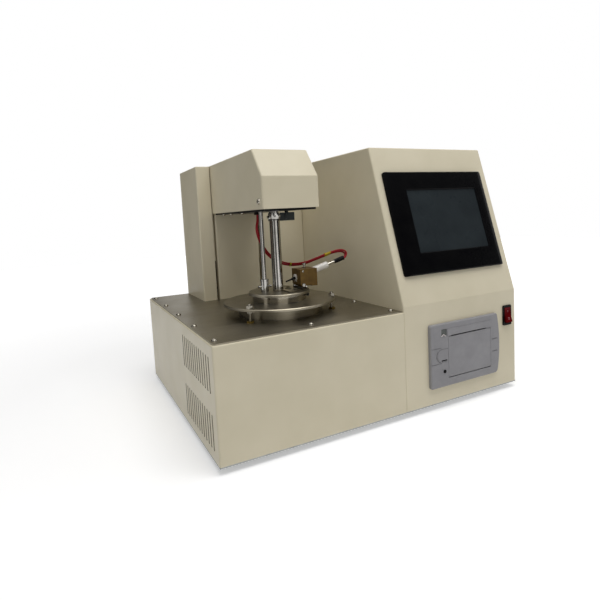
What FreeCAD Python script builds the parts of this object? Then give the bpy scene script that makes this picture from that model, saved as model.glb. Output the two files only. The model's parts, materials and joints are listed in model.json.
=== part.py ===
import FreeCAD, Part
import math
import os

# Automatic closed-cup flash point tester, in millimetres. While it is modelled, X runs right, Y runs
# back and Z up from the front left corner of the low cabinet at floor level. At the end every piece is
# moved so that the origin is the middle of the footprint on the bench.

# Cabinets
base_width = 252.0
control_width = 208.0
depth = 368.0
foot_height = 8.0
foot_radius = 13.0
foot_taper = 2.0
foot_inset = 32.0
pan_thick = 1.5
sheet = 1.5
bend_radius = 2.0
deck_height = 134.5
deck_thick = 1.5
deck_inset = 2.0
deck_bend = 1.6
deck_corner = 5.0
flange_width = 14.0
front_height = 139.5
control_height = 350.0
top_setback = 62.7
overrun = 5.0
slot_corner_share = 0.6
inner_round_share = 0.9
running_fit = 0.05
slip_gap = 0.3

# Louvres in the left wall and fan slots in the back wall
louvre_count = 13
louvre_width = 3.4
louvre_pitch = 9.6
louvre_length = 41.0
louvre_first_y = 17.0
louvre_low_z = 13.0
louvre_high_z = 77.5
fan_slot_height = 4.0
fan_slot_pitch = 8.5

# Column and head
column_left = 67.6
column_depth = 103.5
column_height = 212.8
slit_gap = 1.4
return_depth = 11.0
head_half_width = 39.3
head_sheet = 1.8
head_front = 57.5
head_bottom = 273.0
head_front_height = 39.6
head_height = 75.5
head_slant = 27.4
head_bend = 2.4
head_back_gap = 2.5
tail_drop = 76.0
tail_length = 84.0
tail_clearance = 5.5
chassis_thick = 1.5
chassis_lip = 12.0
chassis_back_gap = 3.0
under_plate_thick = 2.5
under_plate_inset = 3.0
lift_travel = 90.0

# Lift
lift_from_back = 38.0
lift_plate = 8.0
lift_top_plate = 6.0
lift_half_width = 29.0
lift_reach = 24.0
lift_back = 8.0
lift_back_gap = 23.0
lift_height = 203.5
rod_radius = 6.0
rod_spacing = 44.0
lead_screw_radius = 5.0
carriage_height = 44.0
carriage_end_gap = 1.0
carriage_front = 18.0
carriage_back = 18.0
nut_radius = 9.0
nut_flange = 14.0
nut_flange_height = 7.0
nut_barrel = 28.0
motor_size = 42.3
motor_height = 48.0
motor_corner = 4.0
shaft_depth = 22.0

# Bath, cup and lid, round one upright axis
bath_x = 129.9
bath_y = 110.0
bath_plate_radius = 75.9
bath_plate_thick = 3.0
bath_plate_lift = 14.5
bath_edge = 0.8
skirt_radius = 56.3
skirt_wall = 3.0
bath_hole_radius = 52.0
bolt_circle = 141.0
bolt_count = 3
bolt_start_angle = -26.5
bolt_radius = 2.0
bolt_head_radius = 4.4
bolt_head_height = 4.0
bolt_end = 6.0
bolt_nut_radius = 3.6
bolt_nut_height = 2.6
brass_nut_radius = 5.0
brass_nut_height = 2.4
heater_radius = 50.0
heater_depth = 72.0
heater_bore = 31.0
heater_floor = 14.0
cup_inner_radius = 25.4
cup_depth = 56.0
cup_wall = 2.6
cup_flange_radius = 36.8
cup_flange_thick = 4.0
lid_ring_height = 4.2
lid_ring_inner = 27.0
lid_radius = 41.4
lid_thick = 3.5
lid_edge = 0.7

# Tubes between the head and the lid
tube_radius = 6.0
tube_bore = 4.0
neck_radius = 5.0
neck_height = 7.0
collar_radius = 7.2
collar_height = 11.0
collar_drop = 4.5
post_x = 4.5
post_y = 16.0
stirrer_shaft_radius = 2.0
hub_height = 4.0
upper_blade_radius = 9.5
lower_blade_radius = 15.5
blade_width = 6.0
blade_thick = 1.2
blade_tilt = 40.0
blade_hub_radius = 4.0
blade_hub_height = 7.0
upper_blade_depth = 16.0
lower_blade_depth = 38.0
lever_end = 26.0
lever_half_width = 6.0
lever_pin_reach = 17.3
lever_pin_radius = 2.5
lever_boss_radius = 3.5
lever_boss_length = 2.0
lever_boss_x = 14.8

# Shutter
shutter_radius = 31.0
shutter_thick = 1.2
shutter_turn = 40.0
shutter_from_angle = -88.0
shutter_to_angle = 48.0
port_inner = 8.8
port_outer = 17.0
port_angle = -51.0
port_half_angle = 14.0
shutter_port_half_angle = 26.0
vent_inner = 19.0
vent_outer = 25.0
vent_half_angle = 10.0
vent_first_angle = -73.0
vent_second_angle = -8.0
crank_distance = 29.3
crank_reach = 18.0
crank_half_width = 6.0
crank_thick = 4.0
crank_lift = 2.5
crank_slot_gap = 0.5
crank_slot_start = 8.9
shutter_motor_radius = 8.2
shutter_motor_height = 34.0
motor_leg_radius = 2.5
motor_flange_thick = 2.5
shutter_leg_reach = 10.5
shutter_leg_angles = (60.0, -90.0)
stirrer_motor_radius = 17.5
stirrer_motor_height = 44.0
stirrer_motor_lift = 17.5
stirrer_flange_radius = 20.0
stirrer_leg_reach = 16.5
stirrer_leg_angles = (100.0, 215.0, 290.0)

# Temperature probe
probe_x = -19.2
probe_y = 3.8
probe_radius = 3.0
probe_tip_radius = 2.1
probe_depth = 44.5
probe_collar_radius = 5.2
probe_collar_height = 16.8
probe_lip_radius = 5.9
probe_lip_height = 2.0
thumb_screw_radius = 1.8
thumb_screw_reach = 9.2
thumb_screw_height = 6.7
gland_radius = 5.5
gland_height = 9.0

# Igniter, in an upright plane in front of the bath axis
igniter_y = -10.0
block_left = 20.6
block_width = 25.5
block_depth = 25.0
block_front_reach = 15.3
block_height = 23.4
block_lift = 4.6
block_chamfer_x = 3.0
block_chamfer_z = 3.0
block_notch_x = 12.0
block_notch_width = 8.6
block_notch_height = 1.7
block_notch_depth = 5.0
pivot_x = 24.3
pivot_height = 1.0
pivot_radius = 1.5
pivot_head_radius = 2.0
pivot_head_height = 1.6
electrode_slope = 14.8
electrode_ring_height = 11.1
electrode_radius = 1.1
electrode_reach = 14.8
electrode_base_radius = 1.9
electrode_base_length = 5.5
ceramic_radius = 4.8
ceramic_flange = 0.8
ceramic_reach = 26.2
terminal_radius = 1.7
terminal_length = 11.9
sleeve_radius = 3.2
sleeve_length = 16.1
set_screw_x = 14.5
set_screw_radius = 1.6
set_screw_height = 6.0
bracket_thick = 2.2
bracket_foot_inner = 32.5
bracket_foot_from_angle = -8.0
bracket_foot_to_angle = 24.0
bracket_left = 22.6
bracket_top = 12.0

# Ignition leads
lead_radius = 1.25
lead_spacing = 3.2
lead_drop = 0.9
lead_exit = 7.0
lead_turn = 3.4
lead_arc_share = 0.45
lead_points = (
    (108.6, 127.4, 257.0),
    (114.5, 132.0, 240.0),
    (128.5, 139.5, 218.0),
    (150.0, 136.0, 203.4),
    (172.5, 122.6, 201.8),
    (197.0, 116.6, 209.6),
    (218.5, 112.6, 216.6),
    (231.0, 107.4, 218.4),
    (235.0, 102.2, 214.8),
)
grommet_radius = 4.6
grommet_height = 6.0
grommet_x = -18.6
grommet_y = 15.8

# Operator panel on the slope of the control cabinet
panel_left = 11.6
panel_down = 37.2
panel_width = 183.0
panel_height = 144.0
panel_proud = 5.0
panel_chamfer = 1.2
panel_corner = 3.0
panel_bevel = 9.0
panel_bevel_drop = 2.5
panel_margin = 6.0
panel_body_depth = 36.0
screen_left = 33.4
screen_down = 26.5
screen_width = 129.0
screen_height = 88.3
screen_recess = 2.0
screen_thick = 2.0
window_chamfer = 1.2

# Printer on the front of the control cabinet
printer_left = 39.4
printer_low = 23.5
printer_width = 125.7
printer_height = 86.7
printer_bulge = 4.6
printer_proud = 5.0
printer_round = 2.2
printer_corner = 3.0
printer_low_corner = 7.0
door_left = 70.3
door_right = 150.7
door_low = 35.0
door_top = 91.2
door_thick = 4.0
door_gap = 0.4
paper_slot_left = 75.0
paper_slot_right = 141.0
paper_slot_height = 2.0
strip_left = 68.0
strip_right = 152.5
strip_top = 102.0
strip_proud = 0.9
groove_width = 0.8
groove_depth = 0.8
latch_x = 57.5
latch_z = 67.0
latch_radius = 8.5
latch_right = 68.6
latch_gap = 0.35
latch_proud = 0.4
latch_travel = 1.5
latch_band = 10.6
feed_left = 58.4
feed_low = 93.9
feed_size = 8.6
feed_recess = 0.4
lamp_x = 62.6
lamp_z = 45.2
lamp_radius = 2.0
notch_left = 153.2
notch_right = 163.6
notch_low_z = 55.8
notch_high_z = 73.6
notch_height = 1.4
bay_depth = 62.0
bay_wall = 4.0
bay_floor = 38.5
bay_top = 89.0
paper_width = 57.0
paper_radius = 18.0
paper_core = 6.0
platen_radius = 4.0
platen_y = 3.4
platen_drop = 6.4
arm_width = 3.0
arm_radius = 3.0

# Rocker switch
switch_inset = 181.3
switch_low = 88.7
switch_width = 16.7
switch_height = 29.0
switch_proud = 2.0
switch_rim_x = 2.3
switch_rim_z = 2.8
switch_body_depth = 22.0
rocker_gap = 0.3
rocker_pivot = 1.0
rocker_centre_proud = 3.0
rocker_end_proud = 4.4
rocker_back = 4.0
rocker_half_height = 10.7
rocker_turn = 20.0
rocker_pin = 1.5

# Back of the control cabinet
inlet_inset = 173.0
inlet_z = 45.0
inlet_flange_width = 50.0
inlet_flange_height = 31.0
inlet_flange_thick = 2.5
inlet_body_width = 31.0
inlet_body_height = 23.5
inlet_body_depth = 24.0
inlet_open_width = 25.0
inlet_open_height = 16.5
inlet_open_depth = 18.0
inlet_corner = 4.0
blade_contact_width = 2.0
blade_contact_height = 4.0
blade_contact_length = 14.0
blade_contact_spacing = 7.0
blade_contact_drop = 2.0
fuse_inset = 123.0
fuse_radius = 7.5
fuse_proud = 5.0
fuse_body_radius = 6.2
fuse_body_depth = 30.0
rear_vent_count = 9
rear_vent_width = 60.0
rear_vent_pitch = 9.0
rear_vent_height = 3.4
rear_vent_low_z = 215.0

# Fan in the low cabinet
fan_size = 80.0
fan_thick = 25.0
fan_x = 52.0
fan_z = 70.0
fan_bore = 38.0
fan_hub = 15.0
fan_tip_gap = 1.5
fan_blades = 7
fan_blade_chord = 15.0
fan_blade_thick = 1.6
fan_blade_pitch = 42.0
fan_strut = 3.0
fan_shaft_radius = 2.5

# Electronics in the control cabinet
supply_size = (98.0, 159.0, 42.0)
supply_inset = 18.0
supply_back_gap = 59.0
board_size = (70.0, 190.0, 1.6)
board_inset = 128.0
board_back_gap = 48.0
standoff_height = 10.0
standoff_radius = 3.0
chip_size = (22.0, 22.0, 3.0)
coil_size = (30.0, 40.0, 26.0)

# Levels worked out from the sizes above
total_width = base_width + control_width
pan_top = foot_height + pan_thick
deck_top = foot_height + deck_height
shell_top = deck_top - deck_thick
control_top = foot_height + control_height
head_low = foot_height + head_bottom
head_top = head_low + head_height
column_top = deck_top + column_height
column_back = depth - deck_inset
column_front = column_back - column_depth
lift_axis_y = depth - lift_from_back
switch_left = base_width + switch_inset
inlet_x = base_width + inlet_inset
fuse_x = base_width + fuse_inset
plate_low = deck_top + bath_plate_lift
plate_top = plate_low + bath_plate_thick
cup_top = plate_top + cup_flange_thick
lid_low = cup_top + lid_ring_height
lid_top = lid_low + lid_thick
shutter_top = lid_top + shutter_thick
under_plate_low = head_low - under_plate_thick
collar_top = head_low - collar_drop
head_left = bath_x - head_half_width
head_right = bath_x + head_half_width
head_inner_left = head_left + head_sheet
head_inner_right = head_right - head_sheet
slit_outer_left = head_left - slit_gap
slit_outer_right = head_right + slit_gap
slit_inner_left = head_inner_left + slit_gap
slit_inner_right = head_inner_right - slit_gap
lift_top = deck_top + lift_height
carriage_low = lift_top - lift_top_plate - carriage_end_gap - lift_travel - carriage_height
block_low = lid_top + block_lift
block_x = bath_x + block_left
block_y = bath_y + igniter_y - block_front_reach
pivot_z = block_low + pivot_height
rocker_tilt = math.radians(rocker_turn / 2)
rocker_nose = (rocker_end_proud + rocker_pivot) * math.cos(rocker_tilt)
rocker_reach = rocker_nose + rocker_half_height * math.sin(rocker_tilt)
front_reach = max(printer_proud + strip_proud, rocker_reach - rocker_pivot)
rear_reach = fuse_proud
full_turn = 360.0
quarter_turn = 90.0

V = FreeCAD.Vector
ALONG_X = V(1, 0, 0)
ALONG_Y = V(0, 1, 0)
ALONG_Z = V(0, 0, 1)


def box(x0, x1, y0, y1, z0, z1):
    return Part.makeBox(x1 - x0, y1 - y0, z1 - z0, V(x0, y0, z0))


def rod(radius, start, end):
    run = end - start
    return Part.makeCylinder(radius, run.Length, start, run)


def disc(radius, x, y, z0, z1):
    return rod(radius, V(x, y, z0), V(x, y, z1))


def ring(outer, inner, x, y, z0, z1):
    return disc(outer, x, y, z0, z1).cut(disc(inner, x, y, z0 - overrun, z1 + overrun))


def prism(points, sweep):
    wire = Part.makePolygon(points + [points[0]])
    return Part.Face(wire).extrude(sweep)


def side_prism(profile, x0, x1):
    return prism([V(x0, y, z) for y, z in profile], V(x1 - x0, 0, 0))


def front_prism(profile, y0, y1):
    return prism([V(x, y0, z) for x, z in profile], V(0, y1 - y0, 0))


def plan_prism(profile, z0, z1):
    return prism([V(x, y, z0) for x, y in profile], V(0, 0, z1 - z0))


def turned(profile, x, y, z):
    points = [V(r, 0, h) for r, h in profile]
    wire = Part.makePolygon(points + [points[0]])
    solid = Part.Face(wire).revolve(V(0, 0, 0), ALONG_Z, full_turn)
    solid.translate(V(x, y, z))
    return solid


def direction(degrees):
    return V(math.cos(math.radians(degrees)), math.sin(math.radians(degrees)), 0)


def edges_where(shape, test):
    return [edge for edge in shape.Edges if test(edge)]


def is_along(edge, axis):
    run = edge.Vertexes[-1].Point - edge.Vertexes[0].Point
    return run.Length > running_fit and run.cross(axis).Length < running_fit


def rounded(shape, radius, axis):
    return shape.makeFillet(radius, edges_where(shape, lambda edge: is_along(edge, axis)))


def upright_round(shape, radius, corners):
    def wanted(edge):
        centre = edge.CenterOfMass
        near = [math.hypot(centre.x - x, centre.y - y) < radius for x, y in corners]
        return is_along(edge, ALONG_Z) and any(near)

    return shape.makeFillet(radius, edges_where(shape, wanted))


def fused(shapes):
    whole = shapes[0]
    for shape in shapes[1:]:
        whole = whole.fuse(shape)
    return whole.removeSplitter()


def without(shape, cutters):
    for cutter in cutters:
        shape = shape.cut(cutter)
    return shape


def slot_outline(u0, u1, v, half_width):
    # A long narrow slot with cut corners, between u0 and u1 and centred on v.
    cut = half_width * slot_corner_share
    near = half_width - cut
    return [
        (u0, v - near),
        (u0 + cut, v - half_width),
        (u1 - cut, v - half_width),
        (u1, v - near),
        (u1, v + near),
        (u1 - cut, v + half_width),
        (u0 + cut, v + half_width),
        (u0, v + near),
    ]


def sector(inner, outer, angle, half_angle, z0, z1):
    # A piece of a ring round the bath axis, between two radii and two angles.
    far = outer / math.cos(math.radians(half_angle))
    corners = [(bath_x, bath_y)]
    for turn in (-half_angle, half_angle):
        ray = direction(angle + turn) * far
        corners.append((bath_x + ray.x, bath_y + ray.y))
    wedge = plan_prism(corners, z0, z1)
    return ring(outer, inner, bath_x, bath_y, z0, z1).common(wedge)


def inset(profile, gap):
    # A closed outline, listed anticlockwise, moved inwards by the gap with its corners kept sharp.
    moved = []
    for k, point in enumerate(profile):
        before = V(*profile[k - 1], 0)
        here = V(*point, 0)
        after = V(*profile[(k + 1) % len(profile)], 0)
        into = (here - before).normalize()
        out = (after - here).normalize()
        side_in = V(-into.y, into.x, 0)
        side_out = V(-out.y, out.x, 0)
        bisector = side_in + side_out
        step = bisector * (2 * gap / bisector.dot(bisector))
        moved.append((here.x + step.x, here.y + step.y))
    return moved


def hexagon(radius, x, y, z0, z1):
    points = []
    for k in range(6):
        ray = direction(k * full_turn / 6) * radius
        points.append((x + ray.x, y + ray.y))
    return plan_prism(points, z0, z1)


def save(node, shape):
    shape = shape.copy()
    shape.translate(V(-total_width / 2, -(depth + rear_reach - front_reach) / 2, 0))
    bad = [solid for solid in shape.Solids if not solid.isValid()]
    if bad or not shape.Solids:
        print("check", node, len(shape.Solids), len(bad))
    shape.exportStep("parts/" + node + ".step")


def group(solids):
    return Part.makeCompound(solids)


# Low cabinet

def base_shell():
    outer = box(0, base_width, 0, depth, pan_top, shell_top)
    outer = upright_round(outer, bend_radius, [(0, 0), (0, depth)])
    top = edges_where(outer, lambda edge: abs(edge.CenterOfMass.z - shell_top) < running_fit
                      and edge.CenterOfMass.x < base_width - sheet)
    outer = outer.makeFillet(deck_bend, top)
    inner = box(sheet, base_width - sheet, sheet, depth - sheet, pan_top - overrun, shell_top - sheet)
    shell = outer.cut(inner)
    shell = shell.cut(
        box(
            flange_width,
            base_width - flange_width,
            flange_width,
            depth - flange_width,
            shell_top - sheet - overrun,
            shell_top + overrun,
        )
    )
    return without(shell, louvres() + fan_slots())


def louvres():
    cuts = []
    for low in (louvre_low_z, louvre_high_z):
        z0 = foot_height + low
        for k in range(louvre_count):
            y = louvre_first_y + k * louvre_pitch
            outline = [(v, u) for u, v in slot_outline(z0, z0 + louvre_length, y, louvre_width / 2)]
            cuts.append(side_prism(outline, -overrun, sheet + overrun))
    return cuts


def fan_slots():
    cuts = []
    rows = int((fan_bore - fan_slot_height) / fan_slot_pitch)
    for k in range(-rows, rows + 1):
        rise = k * fan_slot_pitch
        reach = math.sqrt(fan_bore**2 - rise**2) - fan_slot_height / 2
        outline = slot_outline(fan_x - reach, fan_x + reach, fan_z + rise, fan_slot_height / 2)
        cuts.append(front_prism(outline, depth - sheet - overrun, depth + overrun))
    return cuts


def bottom_pan():
    return box(0, total_width, 0, depth, foot_height, pan_top)


def rubber_feet():
    profile = [
        (0, 0),
        (foot_radius - foot_taper, 0),
        (foot_radius, foot_height),
        (0, foot_height),
    ]
    feet = []
    for x in (foot_inset, total_width - foot_inset):
        for y in (foot_inset, depth - foot_inset):
            feet.append(turned(profile, x, y, 0))
    return group(feet)


def deck_plate():
    right = base_width
    plate = box(deck_inset, right, deck_inset, depth - deck_inset, shell_top, deck_top)
    plate = upright_round(plate, deck_corner, [(deck_inset, deck_inset), (deck_inset, depth - deck_inset)])
    holes = [
        disc(bath_hole_radius, bath_x, bath_y, shell_top - overrun, deck_top + overrun),
        disc(lead_screw_radius + 2 * sheet, bath_x, lift_axis_y, shell_top - overrun, deck_top + overrun),
    ]
    return without(plate, holes)


# Control cabinet

def control_profile():
    return [
        (0, pan_top),
        (depth, pan_top),
        (depth, control_top),
        (top_setback, control_top),
        (0, foot_height + front_height),
    ]


def slope_angle():
    return math.degrees(math.atan2(top_setback, control_height - front_height))


def slope_length():
    return math.hypot(top_setback, control_height - front_height)


def tilted(shape):
    # What is drawn on an upright front above the bend leans back with the slope.
    shape = shape.copy()
    shape.rotate(V(0, 0, foot_height + front_height), ALONG_X, -slope_angle())
    return shape


def panel_box(left, right, low, high, y0, y1):
    # Left and right are measured from the cabinet's left side, low and high up the slope from the bend.
    bend = foot_height + front_height
    return box(base_width + left, base_width + right, y0, y1, bend + low, bend + high)


def control_shell():
    x0 = base_width
    x1 = total_width
    outer = side_prism(control_profile(), x0, x1)

    def wanted(edge):
        centre = edge.CenterOfMass
        at_back = abs(centre.y - depth) < sheet
        at_bottom = abs(centre.z - pan_top) < sheet
        return not (at_back or at_bottom)

    outer = outer.makeFillet(bend_radius, edges_where(outer, wanted))
    profile = inset(control_profile(), sheet)
    profile[0] = (profile[0][0], pan_top - overrun)
    profile[1] = (depth + overrun, pan_top - overrun)
    profile[2] = (depth + overrun, control_top - sheet)
    shell = outer.cut(side_prism(profile, x0 + sheet, x1 - sheet))
    top = slope_length() - panel_down
    cuts = [
        tilted(
            panel_box(
                panel_left + panel_margin,
                panel_left + panel_width - panel_margin,
                top - panel_height + panel_margin,
                top - panel_margin,
                -overrun,
                sheet + overrun,
            )
        ),
        box(
            x0 + printer_left + bay_wall,
            x0 + printer_left + printer_width - bay_wall,
            -overrun,
            sheet + overrun,
            foot_height + printer_low + bay_wall,
            foot_height + printer_low + printer_height - bay_wall,
        ),
        box(
            switch_left + sheet,
            switch_left + switch_width - sheet,
            -overrun,
            sheet + overrun,
            foot_height + switch_low + sheet,
            foot_height + switch_low + switch_height - sheet,
        ),
    ]
    return without(shell, cuts)


def rear_panel():
    plate = box(base_width + sheet, total_width - sheet, depth - sheet, depth, pan_top, control_top - sheet)
    y0 = depth - sheet - overrun
    y1 = depth + overrun
    cuts = [
        box(
            inlet_x - inlet_body_width / 2,
            inlet_x + inlet_body_width / 2,
            y0,
            y1,
            inlet_z - inlet_body_height / 2,
            inlet_z + inlet_body_height / 2,
        ),
        rod(fuse_body_radius + running_fit, V(fuse_x, y0, inlet_z), V(fuse_x, y1, inlet_z)),
    ]
    middle = base_width + control_width / 2
    for k in range(rear_vent_count):
        for side in (-1, 1):
            centre = middle + side * (rear_vent_width / 2 + rear_vent_pitch)
            z = rear_vent_low_z + k * rear_vent_pitch
            half = rear_vent_width / 2
            outline = slot_outline(centre - half, centre + half, z, rear_vent_height / 2)
            cuts.append(front_prism(outline, y0, y1))
    return without(plate, cuts)


def hmi_bezel():
    top = slope_length() - panel_down
    low = top - panel_height
    right = panel_left + panel_width
    bend = foot_height + front_height
    edge_y = panel_bevel_drop - panel_proud
    section = [
        (base_width + panel_left, 0),
        (base_width + panel_left, edge_y),
        (base_width + panel_left + panel_bevel, -panel_proud),
        (base_width + right - panel_bevel, -panel_proud),
        (base_width + right, edge_y),
        (base_width + right, 0),
    ]
    frame = plan_prism(section, bend + low, bend + top)
    frame = rounded(frame, panel_corner, ALONG_Y)
    front = edges_where(frame, lambda edge: abs(edge.CenterOfMass.y + panel_proud) < running_fit
                        and is_along(edge, ALONG_X))
    frame = frame.makeChamfer(panel_chamfer, front)
    body = panel_box(
        panel_left + panel_margin,
        right - panel_margin,
        low + panel_margin,
        top - panel_margin,
        0,
        panel_body_depth,
    )
    window = panel_box(
        panel_left + screen_left,
        panel_left + screen_left + screen_width,
        top - screen_down - screen_height,
        top - screen_down,
        -panel_proud - overrun,
        -panel_proud + screen_recess + screen_thick,
    )
    bezel = fused([frame, body]).cut(window)
    mouth = edges_where(bezel, lambda edge: abs(edge.CenterOfMass.y + panel_proud) < running_fit
                        and is_window_side(edge, top))
    return tilted(bezel.makeChamfer(window_chamfer, mouth))


def is_window_side(edge, top):
    # One of the four edges of the window in the bezel's front.
    centre = edge.CenterOfMass
    left = base_width + panel_left + screen_left
    high = foot_height + front_height + top - screen_down
    across = left - running_fit < centre.x < left + screen_width + running_fit
    return across and high - screen_height - running_fit < centre.z < high + running_fit


def hmi_screen():
    top = slope_length() - panel_down
    glass = panel_box(
        panel_left + screen_left,
        panel_left + screen_left + screen_width,
        top - screen_down - screen_height,
        top - screen_down,
        -panel_proud + screen_recess,
        -panel_proud + screen_recess + screen_thick,
    )
    return tilted(glass)


# Printer

def front_box(left, right, low, high, y0, y1):
    # Left and right from the control cabinet's left side, low and high from the cabinet's bottom edge.
    return box(base_width + left, base_width + right, y0, y1, foot_height + low, foot_height + high)


def printer_outline():
    # A plate whose right edge bulges in one long arc.
    left = base_width + printer_left
    right = left + printer_width
    low = foot_height + printer_low
    high = low + printer_height
    bulge = V(right + printer_bulge, 0, (low + high) / 2)
    edges = [
        Part.makeLine(V(left, 0, low), V(right, 0, low)),
        Part.Arc(V(right, 0, low), bulge, V(right, 0, high)).toShape(),
        Part.makeLine(V(right, 0, high), V(left, 0, high)),
        Part.makeLine(V(left, 0, high), V(left, 0, low)),
    ]
    return Part.Face(Part.Wire(edges)).extrude(V(0, -printer_proud, 0))


def latch_shape(grow, y0, y1):
    # Half round on the left, straight on to the door's edge.
    x = base_width + latch_x
    z = foot_height + latch_z
    radius = latch_radius + grow
    round_end = rod(radius, V(x, y0, z), V(x, y1, z))
    tongue = box(x, base_width + latch_right + grow, y0, y1, z - radius, z + radius)
    return fused([round_end, tongue])


def feed_shape(grow, y0, y1):
    return front_box(
        feed_left - grow, feed_left + feed_size + grow, feed_low - grow, feed_low + feed_size + grow, y0, y1
    )


def printer_frame():
    frame = printer_outline()
    middle_x = base_width + printer_left + printer_width / 2
    middle_z = foot_height + printer_low + printer_height / 2

    def is_low_right(edge):
        centre = edge.CenterOfMass
        return is_along(edge, ALONG_Y) and centre.x > middle_x and centre.z < middle_z

    def is_other_corner(edge):
        return is_along(edge, ALONG_Y) and not is_low_right(edge)

    corners = edges_where(frame, is_other_corner)
    frame = frame.makeFillet(printer_corner, corners)
    low_corner = edges_where(frame, lambda edge: is_low_right(edge)
                             and edge.CenterOfMass.z < foot_height + printer_low + running_fit)
    frame = frame.makeFillet(printer_low_corner, low_corner)
    front = edges_where(frame, lambda edge: abs(edge.CenterOfMass.y + printer_proud) < running_fit)
    frame = frame.makeFillet(printer_round, front)
    strip = front_box(strip_left, strip_right, door_top + paper_slot_height, strip_top,
                      -printer_proud - strip_proud, -printer_proud)
    frame = fused([frame, strip])
    deep = -printer_proud + groove_depth
    high = -printer_proud - overrun
    cuts = [
        front_box(door_left - door_gap, door_right + door_gap, door_low - door_gap, door_top + door_gap,
                  -printer_proud - overrun, overrun),
        front_box(paper_slot_left, paper_slot_right, door_top, door_top + paper_slot_height,
                  -printer_proud - overrun, overrun),
        latch_shape(latch_gap, -printer_proud - overrun, overrun),
        feed_shape(latch_gap, -printer_proud - overrun, overrun),
        rod(lamp_radius, V(base_width + lamp_x, high, foot_height + lamp_z),
            V(base_width + lamp_x, deep, foot_height + lamp_z)),
    ]
    for z in (latch_z - latch_band, latch_z + latch_band):
        cuts.append(front_box(printer_left - overrun, latch_x, z, z + groove_width, high, deep))
    for z in (notch_low_z, notch_high_z):
        cuts.append(front_box(notch_left, notch_right, z, z + notch_height, high, deep))
    return without(frame, cuts)


def printer_body():
    # The paper bay behind the frame, open to the front where the door closes it.
    left = printer_left + bay_wall
    right = printer_left + printer_width - bay_wall
    low = printer_low + bay_wall
    high = printer_low + printer_height - bay_wall
    block = front_box(left, right, low, high, 0, bay_depth)
    bay = front_box(door_left + arm_width, door_right - arm_width, bay_floor, bay_top, -overrun,
                    bay_depth - bay_wall)
    mouth = front_box(door_left - door_gap, door_right + door_gap, bay_floor, bay_top, -overrun,
                      platen_y + 2 * platen_radius)
    cuts = [
        bay,
        mouth,
        latch_shape(latch_gap, -overrun, latch_travel + 4 * sheet),
        feed_shape(latch_gap, -overrun, latch_travel + 4 * sheet),
    ]
    return without(block, cuts)


def paper_roll():
    x = base_width + (door_left + door_right) / 2
    y = bay_depth - bay_wall - paper_radius - slip_gap
    z = foot_height + bay_floor + paper_radius
    start = V(x - paper_width / 2, y, z)
    end = V(x + paper_width / 2, y, z)
    reach = V(overrun, 0, 0)
    return rod(paper_radius, start, end).cut(rod(paper_core, start - reach, end + reach))


def door_pivot():
    return V(0, -printer_proud + door_thick / 2, foot_height + door_low + door_thick / 2)


def platen_centre():
    return V(0, platen_y, foot_height + door_top - platen_drop)


def printer_door():
    pivot = door_pivot()
    leaf = front_box(door_left, door_right, door_low + door_thick / 2, door_top, -printer_proud,
                     -printer_proud + door_thick)
    x0 = base_width + door_left
    x1 = base_width + door_right
    knuckle = rod(door_thick / 2, V(x0, pivot.y, pivot.z), V(x1, pivot.y, pivot.z))
    platen = platen_centre()
    arms = []
    for x in (x0, x1 - arm_width):
        arms.append(box(x, x + arm_width, pivot.y, platen.y, platen.z - arm_radius, platen.z + arm_radius))
        arms.append(rod(arm_radius, V(x, platen.y, platen.z), V(x + arm_width, platen.y, platen.z)))
    return fused([leaf, knuckle] + arms)


def platen_roller():
    platen = platen_centre()
    x0 = base_width + door_left + arm_width
    x1 = base_width + door_right - arm_width
    return rod(platen_radius, V(x0, platen.y, platen.z), V(x1, platen.y, platen.z))


def printer_latch():
    return latch_shape(0, -printer_proud - latch_proud, latch_travel + sheet)


def feed_button():
    return feed_shape(0, -printer_proud + feed_recess, latch_travel + sheet)


# Rocker switch

def switch_middle():
    return V(switch_left + switch_width / 2, rocker_pivot, foot_height + switch_low + switch_height / 2)


def switch_housing():
    x0 = switch_left
    x1 = switch_left + switch_width
    z0 = foot_height + switch_low
    z1 = z0 + switch_height
    rim = rounded(box(x0, x1, -switch_proud, 0, z0, z1), sheet, ALONG_Y)
    body = box(x0 + sheet, x1 - sheet, 0, switch_body_depth, z0 + sheet, z1 - sheet)
    mouth = box(
        x0 + switch_rim_x,
        x1 - switch_rim_x,
        -switch_proud - overrun,
        rocker_pivot + rocker_back + rocker_pin + slip_gap,
        z0 + switch_rim_z,
        z1 - switch_rim_z,
    )
    pin_wall = switch_rim_x - sheet
    bore = rocker_pins(switch_rim_x - pin_wall / 2, rocker_pin + running_fit)
    return without(fused([rim, body]), [mouth, bore])


def rocker_pins(side_gap, radius):
    middle = switch_middle()
    reach = V(switch_width / 2 - side_gap, 0, 0)
    return rod(radius, middle - reach, middle + reach)


def power_rocker():
    middle = switch_middle()
    low = middle.z - rocker_half_height
    high = middle.z + rocker_half_height
    waist = rocker_half_height / 2
    profile = [
        (rocker_back, middle.z - waist),
        (rocker_back, middle.z + waist),
        (-switch_proud, high),
        (-rocker_end_proud, high),
        (-rocker_centre_proud, middle.z),
        (-rocker_end_proud, low),
        (-switch_proud, low),
    ]
    x0 = switch_left + switch_rim_x + rocker_gap
    x1 = switch_left + switch_width - switch_rim_x - rocker_gap
    lever = side_prism(profile, x0, x1)
    lever.rotate(middle, ALONG_X, -rocker_turn / 2)
    return fused([lever, rocker_pins(switch_rim_x - rocker_gap, rocker_pin)])


# Back of the control cabinet

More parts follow.
